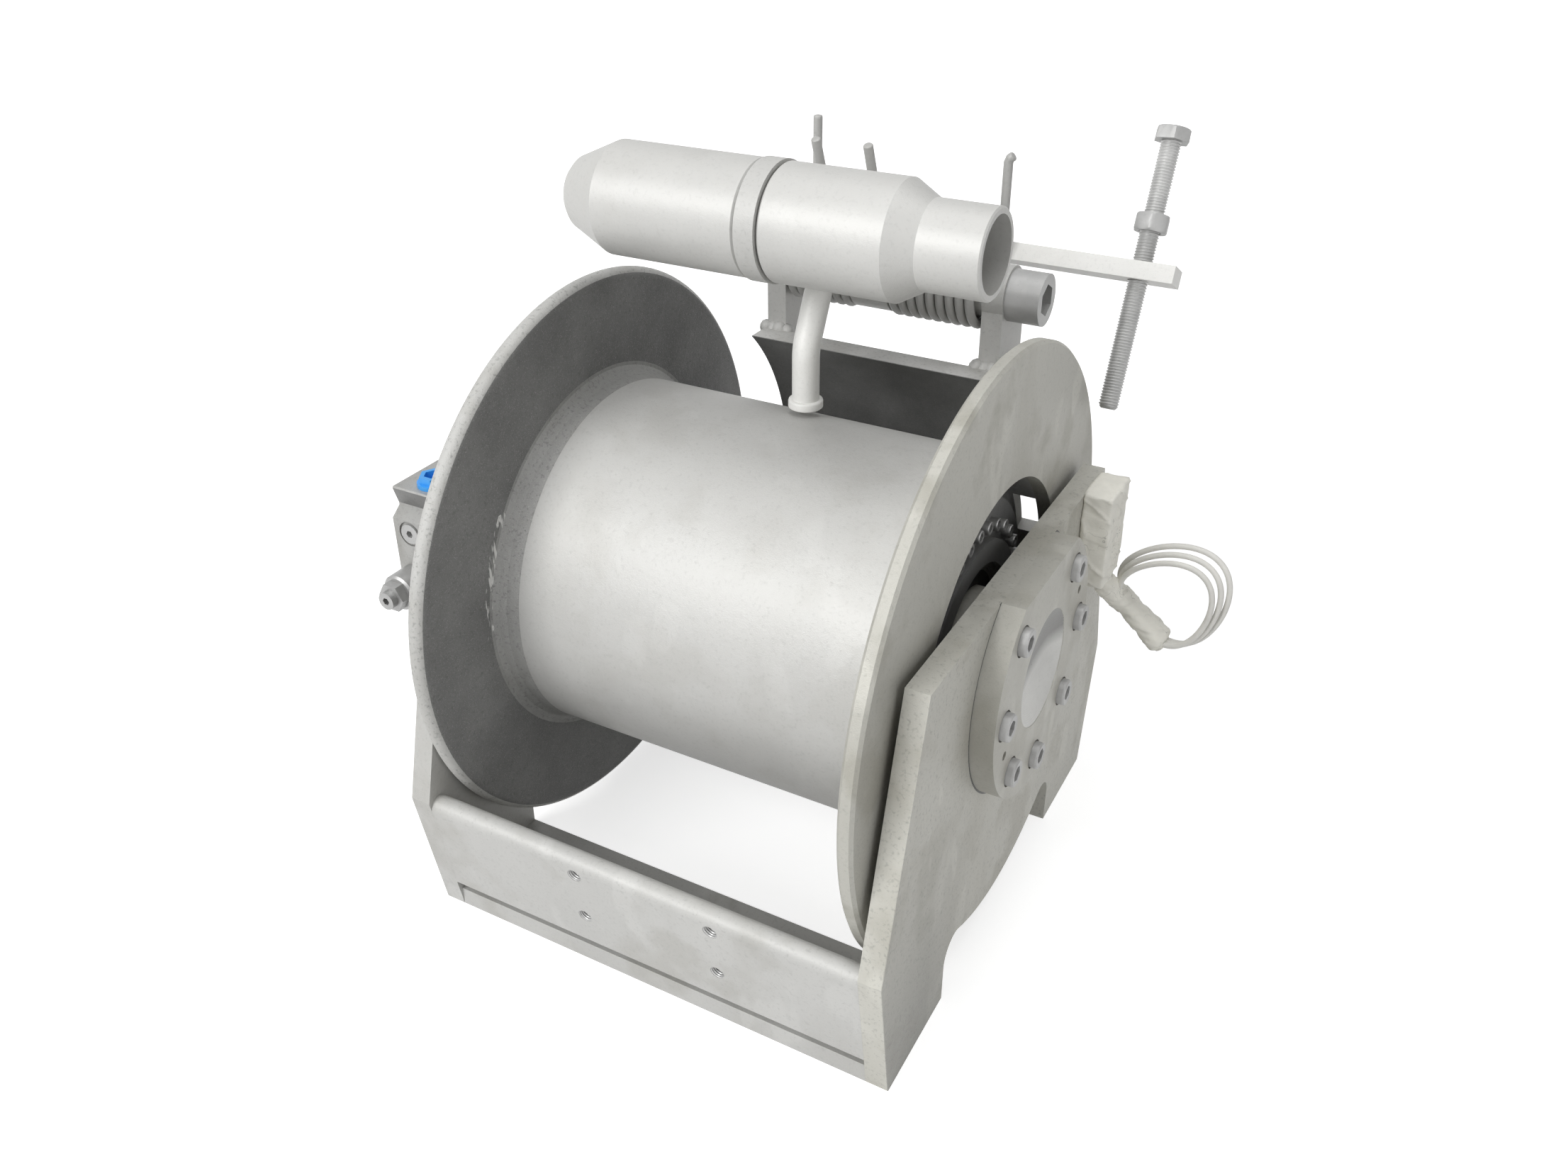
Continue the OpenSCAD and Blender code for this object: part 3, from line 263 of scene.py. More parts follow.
class Shape(Kit):
    """A Geometry Nodes tree under construction, with its named inputs."""

    def __init__(self, name, sockets):
        super().__init__(bpy.data.node_groups.new(name, "GeometryNodeTree"))
        face = self.tree.interface
        face.new_socket(name="Geometry", in_out="OUTPUT", socket_type="NodeSocketGeometry")
        for label, kind in {"Geometry": "Geometry", **sockets, "Finish": "Material"}.items():
            face.new_socket(name=label, in_out="INPUT", socket_type="NodeSocket" + kind)
        self.given = self.tree.nodes.new("NodeGroupInput")

    def value(self, name):
        return Val(self, self.given.outputs[name])

    def end(self, geometry):
        """Ends the tree with real geometry in its finish."""
        real = self.node("GeometryNodeRealizeInstances", {}, {0: geometry}).outputs[0]
        done = self.node("GeometryNodeSetMaterial", {}, {"Geometry": real, "Material": self.value("Finish")})
        out = self.tree.nodes.new("NodeGroupOutput")
        self.tree.links.new(done.outputs[0], out.inputs[0])
        return self.tree


# Finishes


def tone(colour, factor):
    """A colour made lighter or darker."""
    return tuple(min(1.0, c * factor) for c in colour)


def tint(colour, factors):
    """A colour with each of its parts changed."""
    return tuple(c * k for c, k in zip(colour, factors))


def primer_finish(name, colour, rough=0.5, grain=1.0, stain=1.0, metal=0.12,
                  shade=None, where=None, glints=None):
    """Satin primer over blasted steel: cloudy tone, soft stains, faint runs and grit.

    Where one test holds it is darkened to a darker colour, which is painted shade, and partly raw casting on
    the left flange; where another test holds it gets painted bright glints.
    """
    f = Finish(name)
    cloud = f.noise(6.0, 4.0, 0.6)
    patch = f.noise(19.0, 3.0, 0.55)
    smear = f.noise(34.0, 2.0, 0.45, stretch=(1.0, 1.0, 0.45))
    runs = f.noise(15.0, 3.0, 0.5, stretch=(1.0, 1.0, 0.2))
    speck = f.noise(420.0, 2.0, 0.6)
    grit = f.noise(1300.0, 2.0, 0.7)
    pits = f.noise(230.0, 2.0, 0.5)
    dull = tint(colour, (0.80, 0.79, 0.765))
    base = f.mix(tone(colour, 0.93), tone(colour, 1.06), cloud.rise(0.35, 2.6))
    base = f.mix(base, dull, patch.rise(0.53, 9.0) * (0.62 * stain))
    base = f.mix(base, dull, runs.rise(0.55, 7.0) * (0.45 * stain))
    base = f.mix(base, tone(colour, 1.14), smear.rise(0.60, 16.0) * (0.45 * stain))
    # Painted shade: the darker colour stands for shade on the guard, the plate and the valve block, and
    # partly for shade on the left flange.
    if where:
        painted_shade_and_bare = f.mix(tone(shade, 0.85), tone(shade, 1.2), patch.rise(0.35, 3.0))
        painted_shade_and_bare = f.mix(painted_shade_and_bare, tone(shade, 1.5), runs.rise(0.6, 8.0) * 0.4)
        base = f.mix(base, painted_shade_and_bare, where(f))
    # Painted glints: light caught on the flange fillet's rough edge.
    if glints:
        glint = f.noise(260.0, 2.0, 0.5, stretch=(1.0, 1.0, 0.28)).rise(0.53, 14.0)
        base = f.mix(base, tone(colour, 1.55), glint * glints(f))
    dark = tone(shade or colour, 0.55)
    base = f.mix(base, dark, speck.rise(0.55, 5.0) * (0.3 * grain))
    base = f.mix(base, dark, pits.rise(0.67, 12.0) * (0.16 * grain))
    base = f.mix(base, tone(colour, 1.25), grit.rise(0.56, 5.0) * (0.22 * grain))
    normal = f.bump(grit, 0.00022 * grain, 0.7)
    normal = f.bump(f.noise(150.0, 3.0, 0.6), 0.0006 * grain, 0.4, normal)
    return f.surface(base, (rough - 0.07) + cloud * 0.14, normal, Metallic=metal)


def dish_finish(name, colour):
    """Turned and painted hollow: fine rings about the drum's axis, with painted shade darkening its upper
    half.
    """
    f = Finish(name)
    rings = (f.from_axis() * 5200.0).sine()
    cloud = f.noise(30.0, 3.0, 0.6)
    fine = f.noise(500.0, 2.0, 0.6)
    # Painted shade: the wall of the hollow that would be in shade is darkened.
    upper = ((f.axis("Z") - AXIS_H) * 1.45 - f.axis("Y") * 0.32 + 0.012) * 55.0 + (cloud - 0.5) * 0.9
    base = f.mix(tone(colour, 0.9), tone(colour, 1.1), cloud.rise(0.3, 2.2))
    base = f.mix(base, tone(colour, 0.26), upper.clip() * 0.78)
    base = f.mix(base, tone(colour, 0.6), fine.rise(0.58, 6.0) * 0.25)
    normal = f.bump(rings * 0.5 + fine * 0.8, 0.00012, 0.5)
    return f.surface(base, 0.34 + cloud * 0.16, normal, Metallic=0.5)


def steel_finish(name, colour, rough=0.42, metal=0.75):
    """Dull oiled steel with fine turning marks and dark specks."""
    f = Finish(name)
    cloud = f.noise(45.0, 3.0, 0.6)
    fine = f.noise(900.0, 2.0, 0.6)
    base = f.mix(tone(colour, 0.82), tone(colour, 1.12), cloud.rise(0.3, 2.2))
    base = f.mix(base, tone(colour, 0.5), fine.rise(0.64, 8.0) * 0.5)
    return f.surface(base, (rough - 0.08) + cloud * 0.2, f.bump(fine, 0.00008, 0.5), Metallic=metal)


def tape_finish(name, colour):
    """Creped paper tape: fine ridges across it, soft creases, dark fold lines and thumbed dirt."""
    f = Finish(name)
    crepe = f.noise(700.0, 2.0, 0.7, stretch=(0.35, 0.35, 2.4))
    crease = f.noise(70.0, 4.0, 0.65)
    dirt = f.noise(28.0, 3.0, 0.6)
    fold = f.noise(95.0, 2.0, 0.5) - 0.5
    line = 1.0 - (fold * fold * 9000.0).clip()
    base = f.mix(tone(colour, 0.93), tone(colour, 1.07), crease.rise(0.3, 2.0))
    base = f.mix(base, tone(colour, 0.72), dirt.rise(0.58, 5.0) * 0.5)
    base = f.mix(base, tone(colour, 0.42), line.clip() * dirt.rise(0.47, 12.0) * 0.55)
    normal = f.bump(crepe, 0.00018, 0.6)
    normal = f.bump(crease, 0.0011, 0.55, normal)
    return f.surface(base, 0.62 + crease * 0.2, normal)


def plastic_finish(name, colour, rough=0.4):
    """Moulded plastic or rubber with a faint orange peel and handling marks."""
    f = Finish(name)
    peel = f.noise(260.0, 2.0, 0.5)
    marks = f.noise(40.0, 4.0, 0.65)
    base = f.mix(tone(colour, 0.92), tone(colour, 1.06), marks.rise(0.3, 2.2))
    return f.surface(base, (rough - 0.06) + marks * 0.16, f.bump(peel, 0.00012, 0.4))


# Places on the paint, each a share from 0 to 1


def guard_inside(f):
    """The guard's curved face towards the drum, where painted shade stands for the shade behind the barrel
    and roller.
    """
    return f.from_axis().below(0.1778) * f.axis("Y").above(0.1)


def plate_dark(f):
    """A dark line in the seam round the cap, partly dirt and partly painted shadow of the gap, and painted
    shade on the lower front corner, all on the plate's outer face.
    """
    seam = f.from_axis().between(0.0846, 0.0864) * f.axis("Z").below(AXIS_H + 0.079)
    corner = f.axis("Y").fall(-0.05, 12.0) * f.axis("Z").fall(0.2, 6.0) * 0.5
    return (seam + corner).clip() * f.axis("X").above(PLATE_OUTSIDE_X)


def flange_inside(f):
    """The left flange's face towards the rope, darkened partly as raw casting and partly as painted shade,
    and less in the fillet at the barrel.
    """
    r = f.from_axis()
    return r.below(0.1985) * (r.above(0.1345) * 0.45 + 0.55) * f.axis("X").above(FLANGE_INSIDE_X)


def flange_painted_glints(f):
    """Painted glints: bright streaks on the fillet's edge at the upper front, standing for light caught on
    its rough edge.
    """
    edge = f.from_axis().between(0.1318, 0.1385) * f.axis("X").above(FLANGE_INSIDE_X)
    return edge * f.axis("Y").below(-0.06) * f.axis("Z").between(AXIS_H - 0.005, AXIS_H + 0.078) * 0.85


def block_groove(f):
    """The groove under the valve block's head, darkened as painted shade under the head's overhang."""
    return f.axis("Z").between(0.2495, 0.2625) * f.axis("Y").below(-0.075)


# Finish of each material slot of the record, and of the pieces that have their own

SLOT_FINISH = {
    "paint": "primer", "spring_paint": "spring", "casting": "casting", "steel": "steel", "bronze": "bronze",
    "seal": "black", "switch_body": "black", "tape": "tape", "cable": "sheath", "blue_plastic": "plug",
}
NODE_FINISH = {
    "roller_right": "roller", "roller_left": "roller", "flange_left": "flange", "flange_right": "rim",
    "drum_barrel": "barrel", "stop_bar": "pale", "hydraulic_motor": "casting", "rope_guard": "guard",
    "side_plate_right": "plate", "bearing_cap": "cap", "valve_block": "block", "pivot_nut": "screw",
    "cap_screws": "screw", "pivot_screw": "screw", "port_plug": "screw",
}
FINISH = {}


# Meshes


def ring(radius, z, sides):
    """Points round Z at a height. The radius is a number, or a function of the angle."""
    points = []
    for k in range(sides):
        a = 2 * pi * k / sides
        r = radius(a) if callable(radius) else radius
        points.append((r * cos(a), r * sin(a), z))
    return points


def hexagon(half):
    """Radius of a hexagon by the angle, from half its width across flats."""
    return lambda a: half / cos((a + pi / 6) % (pi / 3) - pi / 6)


def join(first, second, sides):
    """Quads between two rings of points, given by their first points."""
    return [(first + k, first + (k + 1) % sides, second + (k + 1) % sides, second + k) for k in range(sides)]


def skin(rings, sides, ends=True):
    """Quads that join rings of points, each to the next, and the two end faces."""
    faces = [quad for i in range(rings - 1) for quad in join(i * sides, (i + 1) * sides, sides)]
    if ends:
        faces += [tuple(range(sides))[::-1], tuple(range((rings - 1) * sides, rings * sides))]
    return faces


def linked(name, data):
    """New object in the scene."""
    obj = bpy.data.objects.new(name, data)
    bpy.context.scene.collection.objects.link(obj)
    return obj


def dressed(name, mesh, material):
    """Object of a finished mesh, smooth and in one material."""
    for poly in mesh.polygons:
        poly.use_smooth = True
    mesh.materials.clear()
    mesh.materials.append(material)
    return linked(name, mesh)


def mesh_piece(name, verts, faces, material):
    """A closed mesh object with its faces pointing outwards."""
    mesh = bpy.data.meshes.new(name)
    mesh.from_pydata([tuple(v) for v in verts], [], faces)
    bm = bmesh.new()
    bm.from_mesh(mesh)
    bmesh.ops.recalc_face_normals(bm, faces=bm.faces)
    bm.to_mesh(mesh)
    bm.free()
    return dressed(name, mesh, material)


def joined(name, parts, material):
    """One mesh object from (verts, faces, matrix) parts."""
    verts, faces = [], []
    for part_verts, part_faces, matrix in parts:
        start = len(verts)
        verts += [matrix @ Vector(v) for v in part_verts]
        faces += [tuple(i + start for i in f) for f in part_faces]
    return mesh_piece(name, verts, faces, material)


def baked(obj, name, material):
    """Plain mesh object from an object's evaluated modifiers, in its place."""
    graph = bpy.context.evaluated_depsgraph_get()
    mesh = bpy.data.meshes.new_from_object(obj.evaluated_get(graph))
    mesh.name = name
    bpy.data.objects.remove(obj)
    return dressed(name, mesh, material)


def sharpen(obj, degrees=35):
    """Merges double points, and makes edges sharp where the surface turns by more than an angle."""
    bm = bmesh.new()
    bm.from_mesh(obj.data)
    bmesh.ops.remove_doubles(bm, verts=bm.verts, dist=1e-7)
    for edge in bm.edges:
        edge.smooth = edge.is_manifold and edge.calc_face_angle(0.0) < radians(degrees)
    for face in bm.faces:
        face.smooth = True
    bm.to_mesh(obj.data)
    bm.free()


def place(piece, body, slot, *replaced):
    """Seats a finished piece on its body and hides the nodes that it stands for. The slot is not used."""
    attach(piece, body)
    if replaced:
        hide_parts(*replaced)


def swept(points, radius, sides, dome=0.0):
    """Tube along points with closed ends. The ends are domed by a share of the radius."""
    pts = [Vector(p) for p in points]
    radii = [radius] * len(pts)
    for _ in range(2 if dome else 0):
        back = (pts[1] - pts[0]).normalized()
        tip = [pts[0] + back * radius * dome * (1 - cos(a)) for a in (0.0, 0.5, 1.0)]
        pts = (tip + pts[1:])[::-1]
        radii = ([radius * share for share in (0.62, 0.86, 0.98)] + radii[1:])[::-1]
    verts, side = [], None
    for i, p in enumerate(pts):
        ahead = (pts[min(i + 1, len(pts) - 1)] - pts[max(i - 1, 0)]).normalized()
        if side is None:
            side = ahead.cross(Vector((0.31, 0.52, 0.79))).normalized()
        side = (side - ahead * side.dot(ahead)).normalized()
        other = ahead.cross(side)
        verts += [p + side * x + other * y for x, y, z in ring(radii[i], 0.0, sides)]
    return verts, skin(len(pts), sides)


def smooth_path(points, steps):
    """Catmull-Rom curve through points."""
    pts = [Vector(p) for p in points]
    pts = [pts[0] * 2 - pts[1]] + pts + [pts[-1] * 2 - pts[-2]]
    out = []
    for a, b, c, d in zip(pts, pts[1:], pts[2:], pts[3:]):
        for s in range(steps):
            t = s / steps
            out.append(0.5 * ((2 * b) + (c - a) * t + (2 * a - 5 * b + 4 * c - d) * t * t
                              + (3 * b - a - 3 * c + d) * t ** 3))
    out.append(pts[-2])
    return out


def revolved(profile, sides):
    """Solid round Z from (radius, height) points, with a flat face at either end."""
    verts = [point for r, z in profile for point in ring(r, z, sides)]
    return verts, skin(len(profile), sides)


def to_direction(origin, direction, spin=0.0):
    """Matrix that puts local Z along a direction at an origin."""
    turn = Vector((0, 0, 1)).rotation_difference(Vector(direction).normalized()).to_matrix().to_4x4()
    return Matrix.Translation(Vector(origin)) @ turn @ Matrix.Rotation(spin, 4, "Z")


# Geometry Nodes trees


def run_tree(tree, source, values):
    """Adds a tree as a modifier and sets its inputs by their identifiers."""
    modifier = source.modifiers.new(tree.name, "NODES")
    modifier.node_group = tree
    for item in tree.interface.items_tree:
        if item.in_out == "INPUT" and item.name in values:
            modifier[item.identifier] = values[item.name]


def seat_tree():
    """Puts a copy of a piece on every point of a mesh, turned by the point's own attribute."""
    g = Shape("copies_on_seats", {"Piece": "Object"})
    info = g.node("GeometryNodeObjectInfo", {}, {"Object": g.value("Piece")})
    spin = g.node("GeometryNodeInputNamedAttribute", {"data_type": "FLOAT_VECTOR"}, {"Name": "turn"})
    points = g.node("GeometryNodeMeshToPoints", {}, {"Mesh": g.value("Geometry")})
    copies = g.node("GeometryNodeInstanceOnPoints", {}, {
        "Points": points.outputs[0], "Instance": info.outputs["Geometry"], "Rotation": spin.outputs[0]})
    return g.end(copies.outputs[0])


def bead_tree():
    """Weld bead: overlapping blobs along an edge, each a little different."""
    g = Shape("weld_bead", {"Radius": "Float", "Spacing": "Float", "Seed": "Int"})
    curve = g.node("GeometryNodeMeshToCurve", {}, {0: g.value("Geometry")})
    points = g.node("GeometryNodeResampleCurve", {"mode": "LENGTH"},
                    {0: curve.outputs[0], "Length": g.value("Spacing")})
    blob = g.node("GeometryNodeMeshIcoSphere", {}, {"Radius": g.value("Radius"), "Subdivisions": 2})
    size, turn = (g.node("FunctionNodeRandomValue", {"data_type": "FLOAT_VECTOR"},
                         {"Min": low, "Max": high, "Seed": g.value("Seed")}).outputs[0]
                  for low, high in (((0.85, 0.85, 0.85), (1.15, 1.15, 1.12)), ((-0.5,) * 3, (0.5,) * 3)))
    copies = g.node("GeometryNodeInstanceOnPoints", {}, {
        "Points": points.outputs[0], "Instance": blob.outputs[0], "Scale": size, "Rotation": turn})
    return g.end(copies.outputs[0])


def thread_tree():
    """Threaded rod: a cylinder whose radius rises and falls along a helix."""
    g = Shape("thread", {"Radius": "Float", "Depth": "Float", "Pitch": "Float", "Length": "Float"})
    radius, depth, pitch, length = (g.value(name) for name in ("Radius", "Depth", "Pitch", "Length"))
    rows_a_turn = 12.0
    rod = g.node("GeometryNodeMeshCylinder", {}, {
        "Vertices": 24, "Side Segments": length / pitch * rows_a_turn, "Radius": radius, "Depth": length})
    here = g.node("ShaderNodeSeparateXYZ", {}, {0: g.node("GeometryNodeInputPosition", {}, {}).outputs[0]})
    x, y, z = (Val(g, here.outputs[i]) for i in range(3))
    angle = y._op("ARCTAN2", x) / (2 * pi)
    wave = (z / pitch - angle)._op("PINGPONG", 0.5) * 2.0
    shrink = (radius - wave * depth) / radius
    moved = g.node("ShaderNodeCombineXYZ", {}, {0: x * shrink, 1: y * shrink, 2: z})
    rod = g.node("GeometryNodeSetPosition", {}, {"Geometry": rod.outputs[0], "Position": moved.outputs[0]})
    return g.end(rod.outputs[0])


def copies_at(name, pattern, matrices, material):
    """One mesh piece from copies of a pattern object, which is then removed."""
    mesh = bpy.data.meshes.new("seats")
    mesh.from_pydata([m.to_translation() for m in matrices], [], [])
    turn = mesh.attributes.new("turn", "FLOAT_VECTOR", "POINT")
    for i, m in enumerate(matrices):
        turn.data[i].vector = m.to_euler()
    seats = linked("seats", mesh)
    tree = bpy.data.node_groups.get("copies_on_seats") or seat_tree()
    run_tree(tree, seats, {"Piece": pattern, "Finish": material})
    piece = baked(seats, name, material)
    bpy.data.objects.remove(pattern)
    return piece


# Screws, nuts and bolt heads, each with its head above Z = 0


def socket_head(radius, height, sides=40):
    """Head of a socket screw with a rounded rim and a chamfered hexagon socket."""
    socket = hexagon(radius * 0.60 * cos(pi / 6))
    return revolved([(radius, 0.0), (radius, height * 0.86), (radius * 0.975, height * 0.94),
                     (radius * 0.91, height), (radius * 0.70, height), (socket, height * 0.97),
                     (socket, height * 0.45)], sides)


def hex_head(flats, height, hole=0.0, sides=48, bottom=False):
    """Hexagon head or nut whose corners are turned off to a cone, with an optional bore."""
    across = flats / 2
    levels = [(0.0, 1.0), (height * 0.10, 1.12)] if bottom else [(0.0, 1.2)]
    levels += [(height * 0.88, 1.12), (height, 1.0)]
    flat = hexagon(across)
    verts = []
    for z, limit in levels:
        verts += ring(lambda a: min(flat(a), across * limit * 0.99), z, sides)
    faces = skin(len(levels), sides, ends=not hole)
    if not hole:
        return verts, faces
    last = (len(levels) - 1) * sides
    bore = len(verts)
    mouth = hole * 1.08
    for z, r in ((0.0, mouth), (height * 0.06, hole), (height * 0.94, hole), (height, mouth)):
        verts += ring(r, z, sides)
    chain = [0, *range(bore, bore + 4 * sides, sides), last]
    for first, second in zip(chain[:-1], chain[1:]):
        faces += join(second, first, sides)
    return verts, faces


def shank(radius, length, sides=24):
    """Plain shank below a head, from Z = 0 down."""
    return revolved([(radius * 0.86, -length), (radius, -length + radius * 0.14), (radius, 0.0002)], sides)


# Operators


class WINCH_OT_stage(bpy.types.Operator):
    """Sets the camera, the pale floor and the soft lamps"""

    bl_idname = "winch.stage"
    bl_label = "Stage"

    def execute(self, context):
        s = context.scene.winch_stage
        scene = context.scene
        scene.view_settings.view_transform = "Standard"
        lens = bpy.data.cameras.new("view")
        lens.sensor_width = 36.0
        lens.lens = s.lens
        lens.shift_x = (PHOTO_W / 2 - PHOTO_AXIS[0]) / PHOTO_W
        lens.shift_y = (PHOTO_AXIS[1] - PHOTO_H / 2) / PHOTO_W
        lens.clip_end = 50
        camera = linked("view", lens)
        camera.location = CAMERA_AT
        camera.rotation_euler = [radians(a) for a in CAMERA_TURN]
        scene.camera = camera

        reach = 9
        floor_mesh = bpy.data.meshes.new("floor")
        corners = [(-reach, -reach, 0), (reach, -reach, 0), (reach, reach, 0), (-reach, reach, 0)]
        floor_mesh.from_pydata(corners, [], [(0, 1, 2, 3)])
        floor = linked("floor", floor_mesh)
        f = Finish("pale_floor")
        far = ((f.axis("X") * f.axis("X") + f.axis("Y") * f.axis("Y")) ** 0.5).rise(0.5, 0.8)
        glow = f.mix((0, 0, 0), f.mix((0.68, 0.68, 0.68), (1.0, 1.0, 1.0), far), seen_directly(f))
        f.surface(f.mix((0.66, 0.66, 0.66), (0.70, 0.70, 0.70), f.noise(1.5)), 0.75,
                  **{"Emission Color": glow, "Emission Strength": 1.0})
        floor.data.materials.append(f.material)

        world = bpy.data.worlds.new("pale_room")
        scene.world = world
        world.use_nodes = True
        room = Kit(world.node_tree)
        back = world.node_tree.nodes["Background"]
        room.feed(back.inputs["Color"], (1, 1, 1, 1))
        room.feed(back.inputs["Strength"], seen_directly(room) * (1.0 - s.fill) + s.fill)

        for name, where, size, power in (("key", (-0.85, -2.3, 1.75), 1.4, s.key),
                                         ("top", (0.2, 0.0, 2.7), 1.8, s.key * 0.46),
                                         ("side", (2.3, -1.3, 1.4), 1.2, s.key * 0.17)):
            light = bpy.data.lights.new(name, "AREA")
            light.size = size
            light.energy = power
            lamp = linked(name, light)
            lamp.location = where
            lamp.rotation_euler = (Vector((0, 0, 0.25)) - Vector(where)).to_track_quat("-Z", "Y").to_euler()
        return {"FINISHED"}


def seen_directly(kit):
    """1 for rays from the camera, a reflection or through a clear piece, which see the ground as white."""
    path = kit.node("ShaderNodeLightPath", {}, {})
    rays = [Val(kit, path.outputs["Is %s Ray" % kind]) for kind in ("Camera", "Glossy", "Transmission")]
    return (rays[0] + rays[1] + rays[2]).clip()


class WINCH_OT_finishes(bpy.types.Operator):
    """Makes the finishes and gives every frame piece its own"""

    bl_idname = "winch.finishes"
    bl_label = "Finishes"

    def execute(self, context):
        c = context.scene.winch_finishes
        primer, bare_and_shade_grey, steel = tuple(c.primer), tuple(c.bare_and_shade_grey), tuple(c.steel)
        warm = tint(primer, (1.0, 0.99, 0.93))
        FINISH.update({
            "primer": primer_finish("grey_primer", primer),
            "barrel": primer_finish("barrel_primer", tone(primer, 1.04), rough=0.52, grain=0.8, stain=0.5,
                                    metal=0.2),
            "roller": primer_finish("roller_primer", tone(primer, 1.06), rough=0.49, grain=0.6, stain=0.3,
                                    metal=0.18),
            # A lighter copy of the primer, as painted light on the stop bar and the feeler tube.
            "pale": primer_finish("pale_primer", tone(primer, 1.6), grain=0.6, stain=0.3, metal=0.05),
            "guard": primer_finish("guard_primer", primer, shade=tone(bare_and_shade_grey, 0.9), where=guard_inside),
            "spring": primer_finish("spring_primer", tone(primer, 0.85), grain=0.7, stain=0.5),
            "plate": primer_finish("plate_primer", tone(warm, 1.05), stain=1.3,
                                   shade=tone(bare_and_shade_grey, 0.5), where=plate_dark),
            "cap": primer_finish("cap_primer", warm, stain=1.2),
            "dish": dish_finish("turned_dish", tone(primer, 0.98)),
            "rim": primer_finish("flange_primer", tone(warm, 0.92), rough=0.52, grain=1.2, stain=1.7),
            "flange": primer_finish("flange_casting_primer", primer, rough=0.6, grain=1.8, metal=0.05,
                                    shade=bare_and_shade_grey, where=flange_inside, glints=flange_painted_glints),
            # The valve block's primer is a darker copy of the frame's, a painted shade, with more painted
            # shade in its groove.
            "block": primer_finish("valve_block_primer", tone(primer, 0.74), rough=0.42, metal=0.2,
                                   shade=bare_and_shade_grey, where=block_groove),
            "bead": primer_finish("weld_primer", tone(primer, 0.97), grain=1.2, stain=0.3),
            "casting": primer_finish("dark_casting", tuple(c.shade), rough=0.6),
            "steel": steel_finish("dull_steel", steel),
            "screw": steel_finish("painted_screw", tone(steel, 1.12), rough=0.46, metal=0.3),
            "thread": steel_finish("zinc_thread", tone(steel, 1.4), rough=0.4, metal=0.4),
            "bronze": steel_finish("bearing_bronze", (0.36, 0.22, 0.09), rough=0.4, metal=0.8),
            "tape": tape_finish("masking_tape", tuple(c.tape)),
            "sheath": plastic_finish("cable_sheath", tuple(c.sheath), rough=0.45),
            "plug": plastic_finish("blue_plug", tuple(c.plug), rough=0.35),
            "black": plastic_finish("black_rubber", (0.02, 0.02, 0.02), rough=0.55),
        })
        slots = {s["node"]: s["material_slot"] for s in frame["record"]["subparts"]}
        for node, obj in frame["nodes"].items():
            obj.data.materials.clear()
            obj.data.materials.append(FINISH[NODE_FINISH.get(node, SLOT_FINISH[slots[node]])])
        return {"FINISHED"}


class WINCH_OT_tape(bpy.types.Operator):
    """Wraps the limit switch and the cable bundle in masking tape"""

    bl_idname = "winch.tape"
    bl_label = "Masking tape"

    def execute(self, context):
        place(mesh_piece("tape_on_switch", *switch_wrap(), FINISH["tape"]), "frame", "tape", "switch_tape")
        place(mesh_piece("cable_wrap", *cable_wrap(), FINISH["tape"]), "frame", "tape", "cable_tape")
        return {"FINISHED"}


def rounded(b, hx, hy, corner):
    """Point of a rounded rectangle in the direction b."""
    ce, se = cos(b), sin(b)
    t = min(hx / abs(ce) if ce else inf, hy / abs(se) if se else inf)
    x, y = t * ce, t * se
    dx, dy = abs(x) - (hx - corner), abs(y) - (hy - corner)
    if dx > 0 and dy > 0:
        d = hypot(dx, dy)
        x = copysign(hx - corner + dx / d * corner, x)
        y = copysign(hy - corner + dy / d * corner, y)
    return x, y


def wrinkle(b, z):
    """Height of the tape's overlaps, folds and creases at a place round the switch."""
    wrap = (z * 26 + b / (2 * pi) * 0.8) % 1.0
    fold = sin(z * 190 + 2.3 * sin(b * 2 + z * 60)) * sin(b * 5 - z * 140)
    ridge = 1 - abs(sin(z * 150 + b * 3.1 + 1.7 * sin(z * 90)))
    return 0.0003 + 0.0007 * (wrap > 0.5) + 0.0005 * fold + 0.0014 * ridge ** 5


def switch_wrap():
    """Tape round the limit switch: wrinkled sides, flat against the plate, with folded ends."""
    low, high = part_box("switch_tape")
    middle, half = (low + high) / 2, (high - low) / 2
    corner, sides, rows, plate_side = 0.0017, 96, 84, 0.004
    verts = []
    for i in range(rows + 1):
        t = i / rows
        z = low.z + (high.z - low.z) * t
        pinch = 0.0009 * (max(0.0, 1 - t / 0.04) ** 2 + max(0.0, (t - 0.975) / 0.025) ** 2)
        for k in range(sides):
            b = 2 * pi * (k + 0.5) / sides
            x, y = rounded(b, half.x, half.y, corner)
            out = wrinkle(b, z - low.z) - pinch
            if x > plate_side - half.x:
                x += out * cos(b)
            y += out * sin(b)
            slump = 0.0006 * (1 + sin(b * 2 + 1)) if i == rows else 0
            verts.append((middle.x + x, middle.y + y, z + slump))
    faces = skin(rows + 1, sides, ends=False)
    for start, sign in ((0, -1), (rows * sides, 1)):
        last = start
        for share in (0.86, 0.6, 0.3):
            base = len(verts)
            for k, (x, y, z) in enumerate(verts[start:start + sides]):
                bulge = 0.0011 * (1 - share) + 0.0006 * sin(7 * share + 0.31 * k) * share
                verts.append((middle.x + (x - middle.x) * share, middle.y + (y - middle.y) * share,
                              z + sign * bulge))
            faces += join(last, base, sides)
            last = base
        faces.append(tuple(range(last, last + sides)))
    return verts, faces


